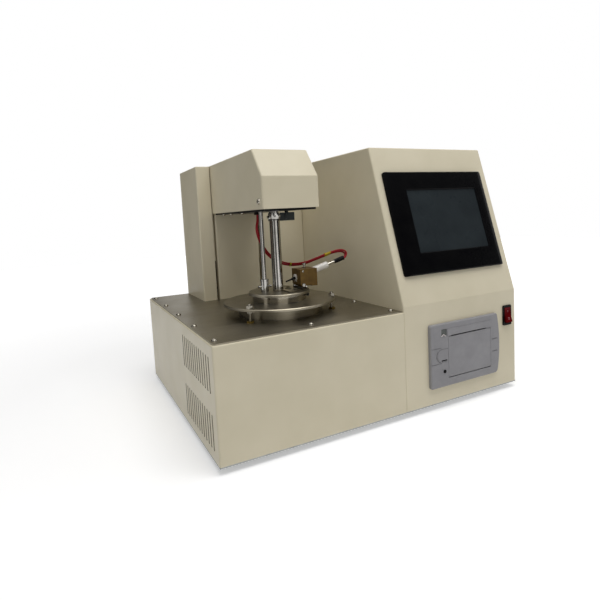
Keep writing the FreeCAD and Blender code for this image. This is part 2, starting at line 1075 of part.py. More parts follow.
def power_inlet():
    def opening(width, height, y0, y1):
        half = width / 2
        low = inlet_z - height / 2
        high = inlet_z + height / 2
        profile = [
            (inlet_x - half, low),
            (inlet_x + half, low),
            (inlet_x + half, high - inlet_corner),
            (inlet_x + half - inlet_corner, high),
            (inlet_x - half + inlet_corner, high),
            (inlet_x - half, high - inlet_corner),
        ]
        return front_prism(profile, y0, y1)

    half = inlet_flange_width / 2
    flange = box(
        inlet_x - half,
        inlet_x + half,
        depth,
        depth + inlet_flange_thick,
        inlet_z - inlet_flange_height / 2,
        inlet_z + inlet_flange_height / 2,
    )
    flange = rounded(flange, inlet_corner, ALONG_Y)
    body = box(
        inlet_x - inlet_body_width / 2,
        inlet_x + inlet_body_width / 2,
        depth - inlet_body_depth,
        depth,
        inlet_z - inlet_body_height / 2,
        inlet_z + inlet_body_height / 2,
    )
    outer = depth + inlet_flange_thick
    socket = opening(inlet_open_width, inlet_open_height, outer - inlet_open_depth, outer + overrun)
    contacts = []
    for side in (-1, 0, 1):
        x = inlet_x + side * blade_contact_spacing
        z = inlet_z + (blade_contact_drop if side == 0 else -blade_contact_drop)
        contacts.append(
            box(
                x - blade_contact_width / 2,
                x + blade_contact_width / 2,
                outer - inlet_open_depth,
                outer - inlet_open_depth + blade_contact_length,
                z - blade_contact_height / 2,
                z + blade_contact_height / 2,
            )
        )
    return fused([fused([flange, body]).cut(socket)] + contacts)


def fuse_holder():
    cap = rod(fuse_radius, V(fuse_x, depth, inlet_z), V(fuse_x, depth + fuse_proud, inlet_z))
    slot = box(
        fuse_x - fuse_radius / 2,
        fuse_x + fuse_radius / 2,
        depth + fuse_proud - sheet,
        depth + fuse_proud + overrun,
        inlet_z - sheet / 2,
        inlet_z + sheet / 2,
    )
    body = rod(fuse_body_radius, V(fuse_x, depth - fuse_body_depth, inlet_z), V(fuse_x, depth, inlet_z))
    return fused([cap, body]).cut(slot)


def power_supply():
    x0 = base_width + supply_inset
    y0 = depth - supply_back_gap - supply_size[1]
    return box(x0, x0 + supply_size[0], y0, y0 + supply_size[1], pan_top, pan_top + supply_size[2])


def controller_board():
    x0 = base_width + board_inset
    y0 = depth - board_back_gap - board_size[1]
    x1 = x0 + board_size[0]
    y1 = y0 + board_size[1]
    low = pan_top + standoff_height
    high = low + board_size[2]
    pieces = [box(x0, x1, y0, y1, low, high)]
    for x in (x0 + 2 * standoff_radius, x1 - 2 * standoff_radius):
        for y in (y0 + 2 * standoff_radius, y1 - 2 * standoff_radius):
            pieces.append(disc(standoff_radius, x, y, pan_top, low))
    middle = (x0 + x1) / 2
    third = board_size[1] / 3
    pieces.append(
        box(
            middle - chip_size[0] / 2,
            middle + chip_size[0] / 2,
            y0 + third - chip_size[1] / 2,
            y0 + third + chip_size[1] / 2,
            high,
            high + chip_size[2],
        )
    )
    pieces.append(
        box(
            middle - coil_size[0] / 2,
            middle + coil_size[0] / 2,
            y1 - third - coil_size[1] / 2,
            y1 - third + coil_size[1] / 2,
            high,
            high + coil_size[2],
        )
    )
    return fused(pieces)


# Fan

def fan_frame():
    half = fan_size / 2
    y0 = depth - sheet - fan_thick
    y1 = depth - sheet
    frame = box(fan_x - half, fan_x + half, y0, y1, fan_z - half, fan_z + half)
    frame = rounded(frame, 2 * fan_strut, ALONG_Y)
    frame = frame.cut(rod(fan_bore, V(fan_x, y0 - overrun, fan_z), V(fan_x, y1 + overrun, fan_z)))
    plate = rod(fan_hub, V(fan_x, y0, fan_z), V(fan_x, y0 + fan_strut, fan_z))
    half_strut = fan_strut / 2
    reach = fan_bore + sheet
    level = box(fan_x - reach, fan_x + reach, y0, y0 + fan_strut, fan_z - half_strut, fan_z + half_strut)
    upright = box(fan_x - half_strut, fan_x + half_strut, y0, y0 + fan_strut, fan_z - reach, fan_z + reach)
    bore = rod(fan_shaft_radius + running_fit, V(fan_x, y0 - overrun, fan_z), V(fan_x, y1, fan_z))
    return fused([frame, plate, level, upright]).cut(bore)


def fan_rotor():
    y0 = depth - sheet - fan_thick + fan_strut + slip_gap
    y1 = depth - sheet - fan_strut
    hub = rod(fan_hub, V(fan_x, y0, fan_z), V(fan_x, y1, fan_z))
    shaft = rod(fan_shaft_radius, V(fan_x, y0 - fan_strut, fan_z), V(fan_x, y0, fan_z))
    pieces = [hub, shaft]
    middle = V(fan_x, (y0 + y1) / 2, fan_z)
    for k in range(fan_blades):
        half = fan_blade_chord / 2
        thin = fan_blade_thick / 2
        blade = box(-half, half, -thin, thin, fan_hub - sheet, fan_bore - fan_tip_gap)
        blade.rotate(V(0, 0, 0), ALONG_Z, fan_blade_pitch)
        blade.rotate(V(0, 0, 0), ALONG_Y, k * full_turn / fan_blades)
        blade.translate(middle)
        pieces.append(blade)
    return fused(pieces)


# Column and lift

def column_cover():
    right = base_width - slip_gap
    outer = box(column_left, right, column_front, column_back, deck_top, column_top)
    outer = upright_round(outer, bend_radius, [(column_left, column_front), (right, column_front)])
    top = edges_where(outer, lambda edge: abs(edge.CenterOfMass.z - column_top) < running_fit
                      and edge.CenterOfMass.x < right - sheet and edge.CenterOfMass.y < column_back - sheet)
    outer = outer.makeFillet(sheet * inner_round_share, top)
    inner = box(column_left + sheet, right - sheet, column_front + sheet, column_back - sheet,
                deck_top - overrun, column_top - sheet)
    gate = box(slit_outer_left, slit_outer_right, column_front - overrun, column_front + sheet + overrun,
               deck_top - overrun, column_top + overrun)
    hatch = box(slit_outer_left, slit_outer_right, column_front - overrun, column_back + overrun,
                column_top - sheet, column_top + overrun)
    return_back = column_front + return_depth
    returns = [
        box(slit_outer_left - sheet, slit_outer_left, column_front, return_back, deck_top, column_top),
        box(slit_outer_right, slit_outer_right + sheet, column_front, return_back, deck_top, column_top),
    ]
    return fused([without(outer, [inner, gate, hatch])] + returns)


def column_panel():
    top = head_top - head_sheet - slip_gap - sheet
    outer = box(slit_inner_left, slit_inner_right, column_front, column_front + return_depth, deck_top, top)
    corners = [(slit_inner_left, column_front), (slit_inner_right, column_front)]
    outer = upright_round(outer, sheet * inner_round_share, corners)
    inner = box(slit_inner_left + sheet, slit_inner_right - sheet, column_front + sheet,
                column_front + return_depth + overrun, deck_top + sheet, top + overrun)
    return outer.cut(inner)


def lift_frame():
    x0 = bath_x - lift_half_width
    x1 = bath_x + lift_half_width
    y0 = lift_axis_y - lift_reach
    y2 = lift_axis_y + lift_back_gap
    y1 = y2 + lift_back
    foot = box(x0, x1, y0, y1, deck_top, deck_top + lift_plate)
    back = box(x0, x1, y2, y1, deck_top, lift_top)
    cap = box(x0, x1, y0, y1, lift_top - lift_top_plate, lift_top)
    low_hole = disc(lead_screw_radius + sheet, bath_x, lift_axis_y, deck_top - overrun,
                    deck_top + lift_plate + overrun)
    bearing = disc(lead_screw_radius + running_fit, bath_x, lift_axis_y,
                   lift_top - lift_top_plate - overrun, lift_top + overrun)
    return without(fused([foot, back, cap]), [low_hole, bearing])


def rod_places():
    return [bath_x - rod_spacing / 2, bath_x + rod_spacing / 2]


def guide_rods():
    low = deck_top + lift_plate
    high = lift_top - lift_top_plate
    return group([disc(rod_radius, x, lift_axis_y, low, high) for x in rod_places()])


def lead_screw():
    low = shell_top - shaft_depth + slip_gap
    return disc(lead_screw_radius, bath_x, lift_axis_y, low, lift_top - slip_gap)


def lift_motor():
    half = motor_size / 2
    body = box(bath_x - half, bath_x + half, lift_axis_y - half, lift_axis_y + half,
               shell_top - motor_height, shell_top)
    corners = edges_where(body, lambda edge: is_along(edge, ALONG_Z))
    body = body.makeChamfer(motor_corner, corners)
    bore = disc(lead_screw_radius + running_fit, bath_x, lift_axis_y, shell_top - shaft_depth,
                shell_top + overrun)
    return body.cut(bore)


def carriage():
    block = box(head_inner_left, head_inner_right, lift_axis_y - carriage_front, lift_axis_y + carriage_back,
                carriage_low, carriage_low + carriage_height)
    low = carriage_low - overrun
    high = carriage_low + carriage_height + overrun
    cuts = [disc(nut_radius, bath_x, lift_axis_y, low, high)]
    for x in rod_places():
        cuts.append(disc(rod_radius + running_fit, x, lift_axis_y, low, high))
    return without(block, cuts)


def lead_nut():
    flange = disc(nut_flange, bath_x, lift_axis_y, carriage_low - nut_flange_height, carriage_low)
    barrel = disc(nut_radius, bath_x, lift_axis_y, carriage_low, carriage_low + nut_barrel)
    bore = disc(lead_screw_radius + running_fit, bath_x, lift_axis_y,
                carriage_low - nut_flange_height - overrun, carriage_low + nut_barrel + overrun)
    return fused([flange, barrel]).cut(bore)


# Head

def head_cover():
    back = column_back - head_back_gap
    profile = [
        (head_front, head_low),
        (back, head_low),
        (back, head_top),
        (head_front + head_slant, head_top),
        (head_front, head_low + head_front_height),
    ]
    outer = side_prism(profile, head_left, head_right)

    def wanted(edge):
        centre = edge.CenterOfMass
        return not (abs(centre.y - back) < head_sheet or abs(centre.z - head_low) < head_sheet)

    outer = outer.makeFillet(head_bend, edges_where(outer, wanted))
    inner_profile = inset(profile, head_sheet)
    inner_profile[0] = (inner_profile[0][0], head_low - overrun)
    inner_profile[1] = (back + overrun, head_low - overrun)
    inner_profile[2] = (back + overrun, head_top - head_sheet)
    cover = outer.cut(side_prism(inner_profile, head_inner_left, head_inner_right))
    tail_front = column_front + tail_clearance
    tails = []
    for x in (head_left, head_inner_right):
        tails.append(box(x, x + head_sheet, tail_front, tail_front + tail_length,
                         head_low - tail_drop, head_low + head_sheet))
    return fused([cover] + tails)


def lever_wedge(inner, outer, z0, z1):
    # The arc that the shutter's lever pin sweeps, with a margin at both ends.
    margin = math.degrees((lever_pin_radius + sheet) / lever_pin_reach)
    return sector(inner, outer, -shutter_turn / 2, shutter_turn / 2 + margin, z0, z1)


def head_chassis():
    x0 = head_inner_left
    x1 = head_inner_right
    y0 = head_front + head_sheet
    y1 = column_front - chassis_back_gap
    z1 = head_low + chassis_thick
    floor = box(x0, x1, y0, y1, head_low, z1)
    lip = chassis_lip
    walls = [
        box(x0, x0 + chassis_thick, y0, y1, head_low, head_low + lip),
        box(x1 - chassis_thick, x1, y0, y1, head_low, head_low + lip),
        box(x0, x1, y0, y0 + chassis_thick, head_low, head_low + lip),
        box(x0, x1, y1 - chassis_thick, y1, head_low, head_low + lip),
    ]
    under_plate = box(head_left + under_plate_inset, head_right - under_plate_inset,
                      head_front + under_plate_inset, y1, under_plate_low, head_low)
    under_plate = rounded(under_plate, head_bend, ALONG_Z)
    low = under_plate_low - overrun
    high = z1 + overrun
    gap = lever_pin_radius + sheet
    place = grommet_place()
    cuts = [
        disc(neck_radius + running_fit, bath_x, bath_y, low, high),
        disc(probe_radius + running_fit, bath_x + probe_x, bath_y + probe_y, low, high),
        disc(grommet_radius, place.x, place.y, low, head_low),
        lever_wedge(lever_pin_reach - gap, lever_pin_reach + gap, low, high),
    ]
    return without(fused([floor, under_plate] + walls), cuts)


def stirrer_motor():
    low = head_low + chassis_thick
    face = low + stirrer_motor_lift
    body = disc(stirrer_motor_radius, bath_x, bath_y, face, face + stirrer_motor_height)
    flange = disc(stirrer_flange_radius, bath_x, bath_y, face - motor_flange_thick, face)
    legs = []
    for angle in stirrer_leg_angles:
        ray = direction(angle) * stirrer_leg_reach
        legs.append(disc(motor_leg_radius, bath_x + ray.x, bath_y + ray.y, low, face - motor_flange_thick))
    bore = disc(stirrer_shaft_radius + running_fit, bath_x, bath_y, face - overrun, face + 2 * overrun)
    return fused([flange, body] + legs).cut(bore)


def crank_axis():
    ray = direction(-shutter_turn / 2) * crank_distance
    return V(bath_x + ray.x, bath_y + ray.y, 0)


def crank_low():
    return head_low + chassis_thick + crank_lift


def shutter_motor():
    axis = crank_axis()
    low = head_low + chassis_thick
    face = crank_low() + crank_thick + slip_gap
    pieces = [disc(shutter_motor_radius, axis.x, axis.y, face, face + shutter_motor_height)]
    for angle in shutter_leg_angles:
        ray = direction(angle) * shutter_leg_reach
        pieces.append(disc(motor_leg_radius, axis.x + ray.x, axis.y + ray.y, low, face + motor_flange_thick))
        ear = box(0, shutter_leg_reach, -motor_leg_radius, motor_leg_radius, face, face + motor_flange_thick)
        ear.rotate(V(0, 0, 0), ALONG_Z, angle)
        ear.translate(axis)
        pieces.append(ear)
    bore = disc(stirrer_shaft_radius + running_fit, axis.x, axis.y, face - overrun, face + overrun)
    return fused(pieces).cut(bore)


def shutter_crank():
    # A slotted arm on the motor shaft. Its open slot holds the pin of the shutter's lever.
    axis = crank_axis()
    low = crank_low()
    high = low + crank_thick
    arm = box(-crank_reach, 0, -crank_half_width, crank_half_width, low, high)
    hub = disc(crank_half_width, 0, 0, low, high)
    slot_half = lever_pin_radius + crank_slot_gap
    slot = box(-crank_reach - overrun, -crank_slot_start, -slot_half, slot_half,
               low - overrun, high + overrun)
    shaft = disc(stirrer_shaft_radius, 0, 0, high, high + overrun)
    crank = fused([arm, hub, shaft]).cut(slot)
    crank.rotate(V(0, 0, 0), ALONG_Z, -shutter_turn / 2 + crank_rest_angle())
    crank.translate(axis)
    return crank


def crank_rest_angle():
    # Where the arm stands at rest, so that its slot lies on the lever pin.
    half = math.radians(shutter_turn / 2)
    across = lever_pin_reach * math.sin(half)
    along = crank_distance - lever_pin_reach * math.cos(half)
    return -math.degrees(math.atan2(across, along))


def hanger_post():
    x = bath_x + post_x
    y = bath_y + post_y
    tube = disc(tube_radius, x, y, lid_top, under_plate_low)
    collar = disc(collar_radius, x, y, collar_top - collar_height, collar_top)
    middle = collar_top - collar_height / 2
    thumb = rod(thumb_screw_radius, V(x - collar_radius - thumb_screw_radius, y, middle), V(x, y, middle))
    return fused([tube, collar, thumb])


def shutter_tube():
    tube = disc(tube_radius, bath_x, bath_y, lid_top + slip_gap, collar_top)
    neck = disc(neck_radius, bath_x, bath_y, collar_top, head_low + neck_height)
    collar = disc(collar_radius, bath_x, bath_y, collar_top - collar_height, collar_top)
    bore = disc(tube_bore, bath_x, bath_y, lid_low, head_low + neck_height + overrun)
    return fused([tube, neck, collar]).cut(bore)


def drive_lever():
    z0 = collar_top - collar_height
    block = box(bath_x, bath_x + lever_end, bath_y - lever_half_width, bath_y + lever_half_width,
                z0, collar_top)
    block = block.cut(disc(collar_radius + running_fit, bath_x, bath_y, z0 - overrun, collar_top + overrun))
    pin = disc(lever_pin_radius, bath_x + lever_pin_reach, bath_y, collar_top, crank_low() + crank_thick)
    middle = (z0 + collar_top) / 2
    x = bath_x + lever_boss_x
    boss_front = bath_y - lever_half_width - lever_boss_length
    boss = rod(lever_boss_radius, V(x, boss_front, middle), V(x, bath_y, middle))
    return fused([block, pin, boss])


def shutter_plate():
    low = lid_top + slip_gap
    high = low + shutter_thick
    middle = (shutter_from_angle + shutter_to_angle) / 2
    half = (shutter_to_angle - shutter_from_angle) / 2
    bore = tube_radius + running_fit
    leaf = sector(bore, shutter_radius, middle, half, low, high)
    hub = ring(tube_radius + 2 * shutter_thick, bore, bath_x, bath_y, low, high)
    deep = low - overrun
    tall = high + overrun
    cuts = [sector(port_inner, port_outer, port_angle + shutter_turn, shutter_port_half_angle, deep, tall)]
    for angle in (vent_first_angle, vent_second_angle):
        cuts.append(sector(vent_inner, vent_outer, angle + shutter_turn, vent_half_angle, deep, tall))
    return without(fused([leaf, hub]), cuts)


def lid_plate():
    plate = disc(lid_radius, bath_x, bath_y, lid_low, lid_top)
    rims = edges_where(plate, lambda edge: abs(edge.CenterOfMass.z - lid_top) < running_fit)
    plate = plate.makeChamfer(lid_edge, rims)
    hub = disc(tube_bore - running_fit, bath_x, bath_y, lid_top, lid_top + hub_height)
    low = lid_low - overrun
    high = lid_top + overrun
    cuts = [
        disc(stirrer_shaft_radius + running_fit, bath_x, bath_y, low, high),
        disc(probe_radius + running_fit, bath_x + probe_x, bath_y + probe_y, low, high),
        sector(port_inner, port_outer, port_angle, port_half_angle, low, high),
    ]
    for angle in (vent_first_angle, vent_second_angle):
        cuts.append(sector(vent_inner, vent_outer, angle, vent_half_angle, low, high))
    return without(fused([plate, hub]), cuts)


def lid_ring():
    return ring(cup_flange_radius, lid_ring_inner, bath_x, bath_y, cup_top, lid_low)


def temperature_probe():
    x = bath_x + probe_x
    y = bath_y + probe_y
    tip = cup_top - probe_depth
    thick = disc(probe_radius, x, y, lid_low, head_low + gland_height)
    thin = disc(probe_tip_radius, x, y, tip, lid_low)
    gland = hexagon(gland_radius, x, y, head_low + chassis_thick, head_low + gland_height)
    return fused([thick, thin, gland])


def probe_collar():
    x = bath_x + probe_x
    y = bath_y + probe_y
    top = lid_top + probe_collar_height
    body = disc(probe_collar_radius, x, y, lid_top, top)
    lip = disc(probe_lip_radius, x, y, top - probe_lip_height, top)
    z = lid_top + thumb_screw_height
    screws = rod(thumb_screw_radius, V(x - thumb_screw_reach, y, z), V(x + thumb_screw_reach, y, z))
    bore = disc(probe_radius + running_fit, x, y, lid_top - overrun, top + overrun)
    return fused([body, lip, screws]).cut(bore)


# Igniter

def electrode_axis(distance):
    # A point on the electrode's line, at a distance from where the line leaves the block's left face.
    slope = math.radians(electrode_slope)
    return V(
        block_x + distance * math.cos(slope),
        bath_y + igniter_y,
        block_low + electrode_ring_height + distance * math.sin(slope),
    )


def block_run():
    return block_width / math.cos(math.radians(electrode_slope))


def igniter_block():
    x0 = block_x
    x1 = block_x + block_width
    z0 = block_low
    z1 = block_low + block_height
    profile = [
        (x0 + block_chamfer_x, z0),
        (x1, z0),
        (x1, z1),
        (x0, z1),
        (x0, z0 + block_chamfer_z),
    ]
    block = front_prism(profile, block_y, block_y + block_depth)
    notch = box(
        x0 + block_notch_x - block_notch_width / 2,
        x0 + block_notch_x + block_notch_width / 2,
        block_y - overrun,
        block_y + block_notch_depth,
        z0 - overrun,
        z0 + block_notch_height,
    )
    bore = rod(ceramic_radius + running_fit, electrode_axis(-overrun), electrode_axis(block_run() + overrun))
    pin_hole = rod(
        pivot_radius + running_fit,
        V(bath_x + pivot_x, block_y - overrun, pivot_z + pivot_radius),
        V(bath_x + pivot_x, block_y + block_depth + overrun, pivot_z + pivot_radius),
    )
    screw_foot = V(x0 + set_screw_x, bath_y + igniter_y, z1)
    set_screw = rod(set_screw_radius, screw_foot, screw_foot + V(0, 0, set_screw_height))
    return fused([without(block, [notch, bore, pin_hole]), set_screw])


def electrode():
    needle = rod(electrode_radius, electrode_axis(-electrode_reach), electrode_axis(block_run()))
    base = rod(electrode_base_radius, electrode_axis(-electrode_base_length), electrode_axis(0))
    return fused([needle, base])


def insulator():
    body = rod(ceramic_radius, electrode_axis(-ceramic_flange), electrode_axis(block_run() + ceramic_reach))
    bore = rod(electrode_base_radius, electrode_axis(-overrun), electrode_axis(0))
    wire = rod(electrode_radius, electrode_axis(-overrun), electrode_axis(block_run()))
    return without(body, [bore, wire])


def terminal_sleeve():
    start = electrode_axis(block_run() + ceramic_reach)
    middle = electrode_axis(block_run() + ceramic_reach + terminal_length)
    return fused([rod(terminal_radius, start, middle), rod(sleeve_radius, middle, sleeve_end())])


def sleeve_end():
    return electrode_axis(block_run() + ceramic_reach + terminal_length + sleeve_length)


def igniter_bracket():
    # A foot on the lid's rim, an ear behind the block, and the shoulder screw that the block turns on.
    y0 = block_y + block_depth + slip_gap
    y1 = y0 + bracket_thick
    middle = (bracket_foot_from_angle + bracket_foot_to_angle) / 2
    half = (bracket_foot_to_angle - bracket_foot_from_angle) / 2
    foot = sector(bracket_foot_inner, lid_radius - lid_edge, middle, half, lid_top, lid_top + bracket_thick)
    x1 = bath_x + lid_radius - lid_edge - bracket_thick
    low = shutter_top + slip_gap + running_fit
    profile = [
        (bath_x + bracket_left, low),
        (bath_x + bracket_foot_inner, low),
        (bath_x + bracket_foot_inner, lid_top),
        (x1, lid_top),
        (x1, block_low + bracket_top),
        (bath_x + bracket_left, block_low + bracket_top),
    ]
    ear = front_prism(profile, y0, y1)
    x = bath_x + pivot_x
    z = pivot_z + pivot_radius
    pin = rod(pivot_radius, V(x, block_y - slip_gap, z), V(x, y1, z))
    head_y = block_y - slip_gap
    head = rod(pivot_head_radius, V(x, head_y - pivot_head_height, z), V(x, head_y, z))
    return fused([foot, ear, pin, head])


# Ignition leads

def grommet_place():
    return V(bath_x + grommet_x, bath_y + grommet_y, head_low)


def lead_grommet():
    place = grommet_place()
    return disc(grommet_radius, place.x, place.y, place.z - grommet_height, place.z)


def lead_route(side):
    # Points of one lead from the grommet down behind the tubes, past the block and into the sleeve.
    # Side is -1 for the lead that lies in front and above, and 1 for the one behind and below it.
    start = grommet_place() + V(0, side * lead_spacing / 2, -grommet_height)
    slope = math.radians(electrode_slope)
    along = V(math.cos(slope), 0, math.sin(slope))
    end = sleeve_end() + V(0, side * lead_spacing / 2, 0)
    route = [start, start - V(0, 0, lead_exit)]
    for x, y, z in lead_points:
        route.append(V(x, y + side * lead_spacing / 2, z - side * lead_drop))
    route.append(end + along * lead_turn)
    route.append(end)
    return route


def lead_tube(points, radius):
    # Straight runs joined by tangent arcs, each as large as its two runs allow.
    edges = []
    radii = []
    here = points[0]
    for k in range(1, len(points) - 1):
        into = points[k] - points[k - 1]
        out = points[k + 1] - points[k]
        tangent = lead_arc_share * min(into.Length, out.Length)
        half = into.getAngle(out) / 2
        arc_start = points[k] - into.normalize() * tangent
        arc_end = points[k] + out.normalize() * tangent
        bend = tangent / math.tan(half)
        chord_middle = (arc_start + arc_end) / 2
        inward = (chord_middle - points[k]).normalize()
        arc_middle = points[k] + inward * (bend / math.cos(half) - bend)
        edges.append(Part.LineSegment(here, arc_start).toShape())
        edges.append(Part.Arc(arc_start, arc_middle, arc_end).toShape())
        radii.append(bend)
        here = arc_end
    edges.append(Part.LineSegment(here, points[-1]).toShape())
    path = Part.Wire(edges)
    circle = Part.Wire(Part.makeCircle(radius, points[0], points[1] - points[0]))
    tube = path.makePipe(Part.Face(circle))
    expected = math.pi * radius**2 * path.Length
    print("lead radii", [round(r, 1) for r in radii], "length", round(path.Length, 1),
          "volume share", round(tube.Volume / expected, 4))
    return tube


def ignition_leads():
    return group([lead_tube(lead_route(side), lead_radius) for side in (-1, 1)])


# Bath and cup

def bath_plate():
    plate = disc(bath_plate_radius, bath_x, bath_y, plate_low, plate_top)
    rims = edges_where(plate, lambda edge: abs(edge.CenterOfMass.z - plate_top) < running_fit)
    plate = plate.makeChamfer(bath_edge, rims)
    low = plate_low - overrun
    high = plate_top + overrun
    cuts = [disc(cup_inner_radius + cup_wall + 2 * slip_gap, bath_x, bath_y, low, high)]
    for x, y in bolt_places():
        cuts.append(disc(bolt_radius + running_fit, x, y, low, high))
    return without(plate, cuts)


def bolt_places():
    places = []
    for k in range(bolt_count):
        ray = direction(bolt_start_angle + k * full_turn / bolt_count) * (bolt_circle / 2)
        places.append((bath_x + ray.x, bath_y + ray.y))
    return places


def bath_skirt():
    return ring(skirt_radius, skirt_radius - skirt_wall, bath_x, bath_y, deck_top, plate_low)


def bath_bolts():
    bolts = []
    for x, y in bolt_places():
        bolt = fused([
            disc(bolt_radius, x, y, deck_top, plate_top + bolt_end),
            hexagon(bolt_head_radius, x, y, plate_top, plate_top + bolt_head_height),
            hexagon(bolt_nut_radius, x, y, plate_low - bolt_nut_height, plate_low),
        ])
        bolts.append(bolt)
    return group(bolts)


def bath_nuts():
    nuts = []
    for x, y in bolt_places():
        nut = hexagon(brass_nut_radius, x, y, deck_top, deck_top + brass_nut_height)
        nuts.append(nut.cut(disc(bolt_radius + running_fit, x, y, deck_top - overrun, deck_top + overrun)))
    return group(nuts)


def heater_block():
    block = disc(heater_radius, bath_x, bath_y, plate_low - heater_depth, plate_low)
    bore = disc(heater_bore, bath_x, bath_y, plate_low - heater_depth + heater_floor, plate_low + overrun)
    return block.cut(bore)


def test_cup():
    inner_floor = cup_top - cup_depth
    outer = cup_inner_radius + cup_wall
    flange = disc(cup_flange_radius, bath_x, bath_y, plate_top, cup_top)
    wall = disc(outer, bath_x, bath_y, inner_floor - cup_wall, cup_top)
    return fused([flange, wall]).cut(disc(cup_inner_radius, bath_x, bath_y, inner_floor, cup_top + overrun))


def stirrer():
    top = head_low + chassis_thick + stirrer_motor_lift + 2 * overrun - slip_gap
    low = cup_top - lower_blade_depth
    half_hub = blade_hub_height / 2
    pieces = [disc(stirrer_shaft_radius, bath_x, bath_y, low - half_hub, top)]
    blade_sets = ((upper_blade_depth, upper_blade_radius), (lower_blade_depth, lower_blade_radius))
    for depth_down, reach in blade_sets:
        z = cup_top - depth_down
        pieces.append(disc(blade_hub_radius, bath_x, bath_y, z - half_hub, z + half_hub))
        for side in (-1, 1):
            blade = box(0, reach, -blade_width / 2, blade_width / 2, -blade_thick / 2, blade_thick / 2)
            blade.rotate(V(0, 0, 0), ALONG_X, blade_tilt)
            blade.rotate(V(0, 0, 0), ALONG_Z, quarter_turn * (1 + side))
            blade.translate(V(bath_x, bath_y, z))
            pieces.append(blade)
    return fused(pieces)


builders = [
    base_shell,
    bottom_pan,
    rubber_feet,
    deck_plate,
    control_shell,
    rear_panel,
    hmi_bezel,
    hmi_screen,
    printer_frame,
    printer_body,
    paper_roll,
    printer_door,
    platen_roller,
    printer_latch,
    feed_button,
    switch_housing,
    power_rocker,
    power_inlet,
    fuse_holder,
    power_supply,
    controller_board,
    fan_frame,
    fan_rotor,
    column_cover,
    column_panel,
    lift_frame,
    guide_rods,
    lead_screw,
    lift_motor,
    carriage,
    lead_nut,
    head_cover,
    head_chassis,
    stirrer_motor,
    shutter_motor,
    shutter_crank,
    hanger_post,
    shutter_tube,
    drive_lever,
    shutter_plate,
    lid_plate,
    lid_ring,
    temperature_probe,
    probe_collar,
    igniter_block,
    electrode,
    insulator,
    terminal_sleeve,
    igniter_bracket,
    lead_grommet,
    ignition_leads,
    bath_plate,
    bath_skirt,
    bath_bolts,
    bath_nuts,
    heater_block,
    test_cup,
    stirrer,
]

os.makedirs("parts", exist_ok=True)
for build in builders:
    save(build.__name__, build())
print("nodes", len(builders))
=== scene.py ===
import json
import math
import bpy
import bmesh
import numpy as np
from mathutils import Matrix, Vector

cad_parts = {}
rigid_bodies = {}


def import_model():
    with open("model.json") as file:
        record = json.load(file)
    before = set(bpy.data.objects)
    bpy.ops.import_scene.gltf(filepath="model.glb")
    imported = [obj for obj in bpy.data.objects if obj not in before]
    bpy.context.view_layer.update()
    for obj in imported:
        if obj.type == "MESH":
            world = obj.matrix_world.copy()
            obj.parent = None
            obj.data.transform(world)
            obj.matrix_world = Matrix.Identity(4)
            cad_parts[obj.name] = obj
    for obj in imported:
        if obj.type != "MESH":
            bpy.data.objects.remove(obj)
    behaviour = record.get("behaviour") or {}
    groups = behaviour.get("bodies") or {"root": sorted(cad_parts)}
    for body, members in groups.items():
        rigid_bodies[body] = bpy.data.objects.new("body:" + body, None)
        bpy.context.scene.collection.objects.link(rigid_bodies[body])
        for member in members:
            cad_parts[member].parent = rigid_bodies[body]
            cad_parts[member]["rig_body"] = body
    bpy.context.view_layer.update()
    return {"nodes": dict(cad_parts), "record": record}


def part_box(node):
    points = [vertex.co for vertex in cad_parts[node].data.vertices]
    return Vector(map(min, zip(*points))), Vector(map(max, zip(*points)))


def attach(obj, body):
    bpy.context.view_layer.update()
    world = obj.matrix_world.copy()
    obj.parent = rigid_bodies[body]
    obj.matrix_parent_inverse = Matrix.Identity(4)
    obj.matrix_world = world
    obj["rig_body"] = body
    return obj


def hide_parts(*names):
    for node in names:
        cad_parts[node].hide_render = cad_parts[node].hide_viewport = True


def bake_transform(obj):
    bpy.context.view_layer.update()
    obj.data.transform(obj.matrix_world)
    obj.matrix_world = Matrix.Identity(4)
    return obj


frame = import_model()
print("frame loaded with", len(frame["nodes"]), "nodes")

# The cabinet's own corner: x to the right and y to the back from its front left corner, in metres.
cornerX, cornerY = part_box("base_shell")[0][:2]


def spot(x, y, z):
    # a place given in millimetres from the cabinet's front left corner at bench level
    return np.array((cornerX + x / 1000, cornerY + y / 1000, z / 1000))


def spots(rows):
    return np.array([spot(*row) for row in rows])


# The upright axes of the bath with its lid and stirrer, and of the post behind it, in millimetres. The
# electrode rises from left to right by a slope in degrees, which the leads' far ends follow.
bathAxis = np.array((129.9, 110.0, 0))
postAxis = np.array((134.4, 126.0, 0))
electrodeSlope = 14.8


# camera and room

# back points from the tester to the camera, and roll turns the picture, in degrees
view = {
    "place": (-0.35982, -0.64469, 0.27123),
    "back": (-0.44807653, -0.88935371, 0.0909802),
    "roll": -2.95,
    "lens": 27.936,
    "sensor": 36,
    "shift": (0.0067, -0.0696),
}

back = Vector(view["back"]).normalized()
level = Vector((0, 0, 1)).cross(back).normalized()
above = back.cross(level)
lean = math.radians(view["roll"])
camRight = level * math.cos(lean) + above * math.sin(lean)
camUp = above * math.cos(lean) - level * math.sin(lean)
turn = Matrix((camRight, camUp, back)).transposed().to_4x4()

cameraData = bpy.data.cameras.new("camera")
cameraData.lens = view["lens"]
cameraData.sensor_width = view["sensor"]
cameraData.shift_x, cameraData.shift_y = view["shift"]
camera = bpy.data.objects.new("camera", cameraData)
camera.matrix_world = Matrix.Translation(view["place"]) @ turn
bpy.context.collection.objects.link(camera)
bpy.context.scene.camera = camera
bpy.context.scene.view_settings.view_transform = "Standard"
print("camera set")


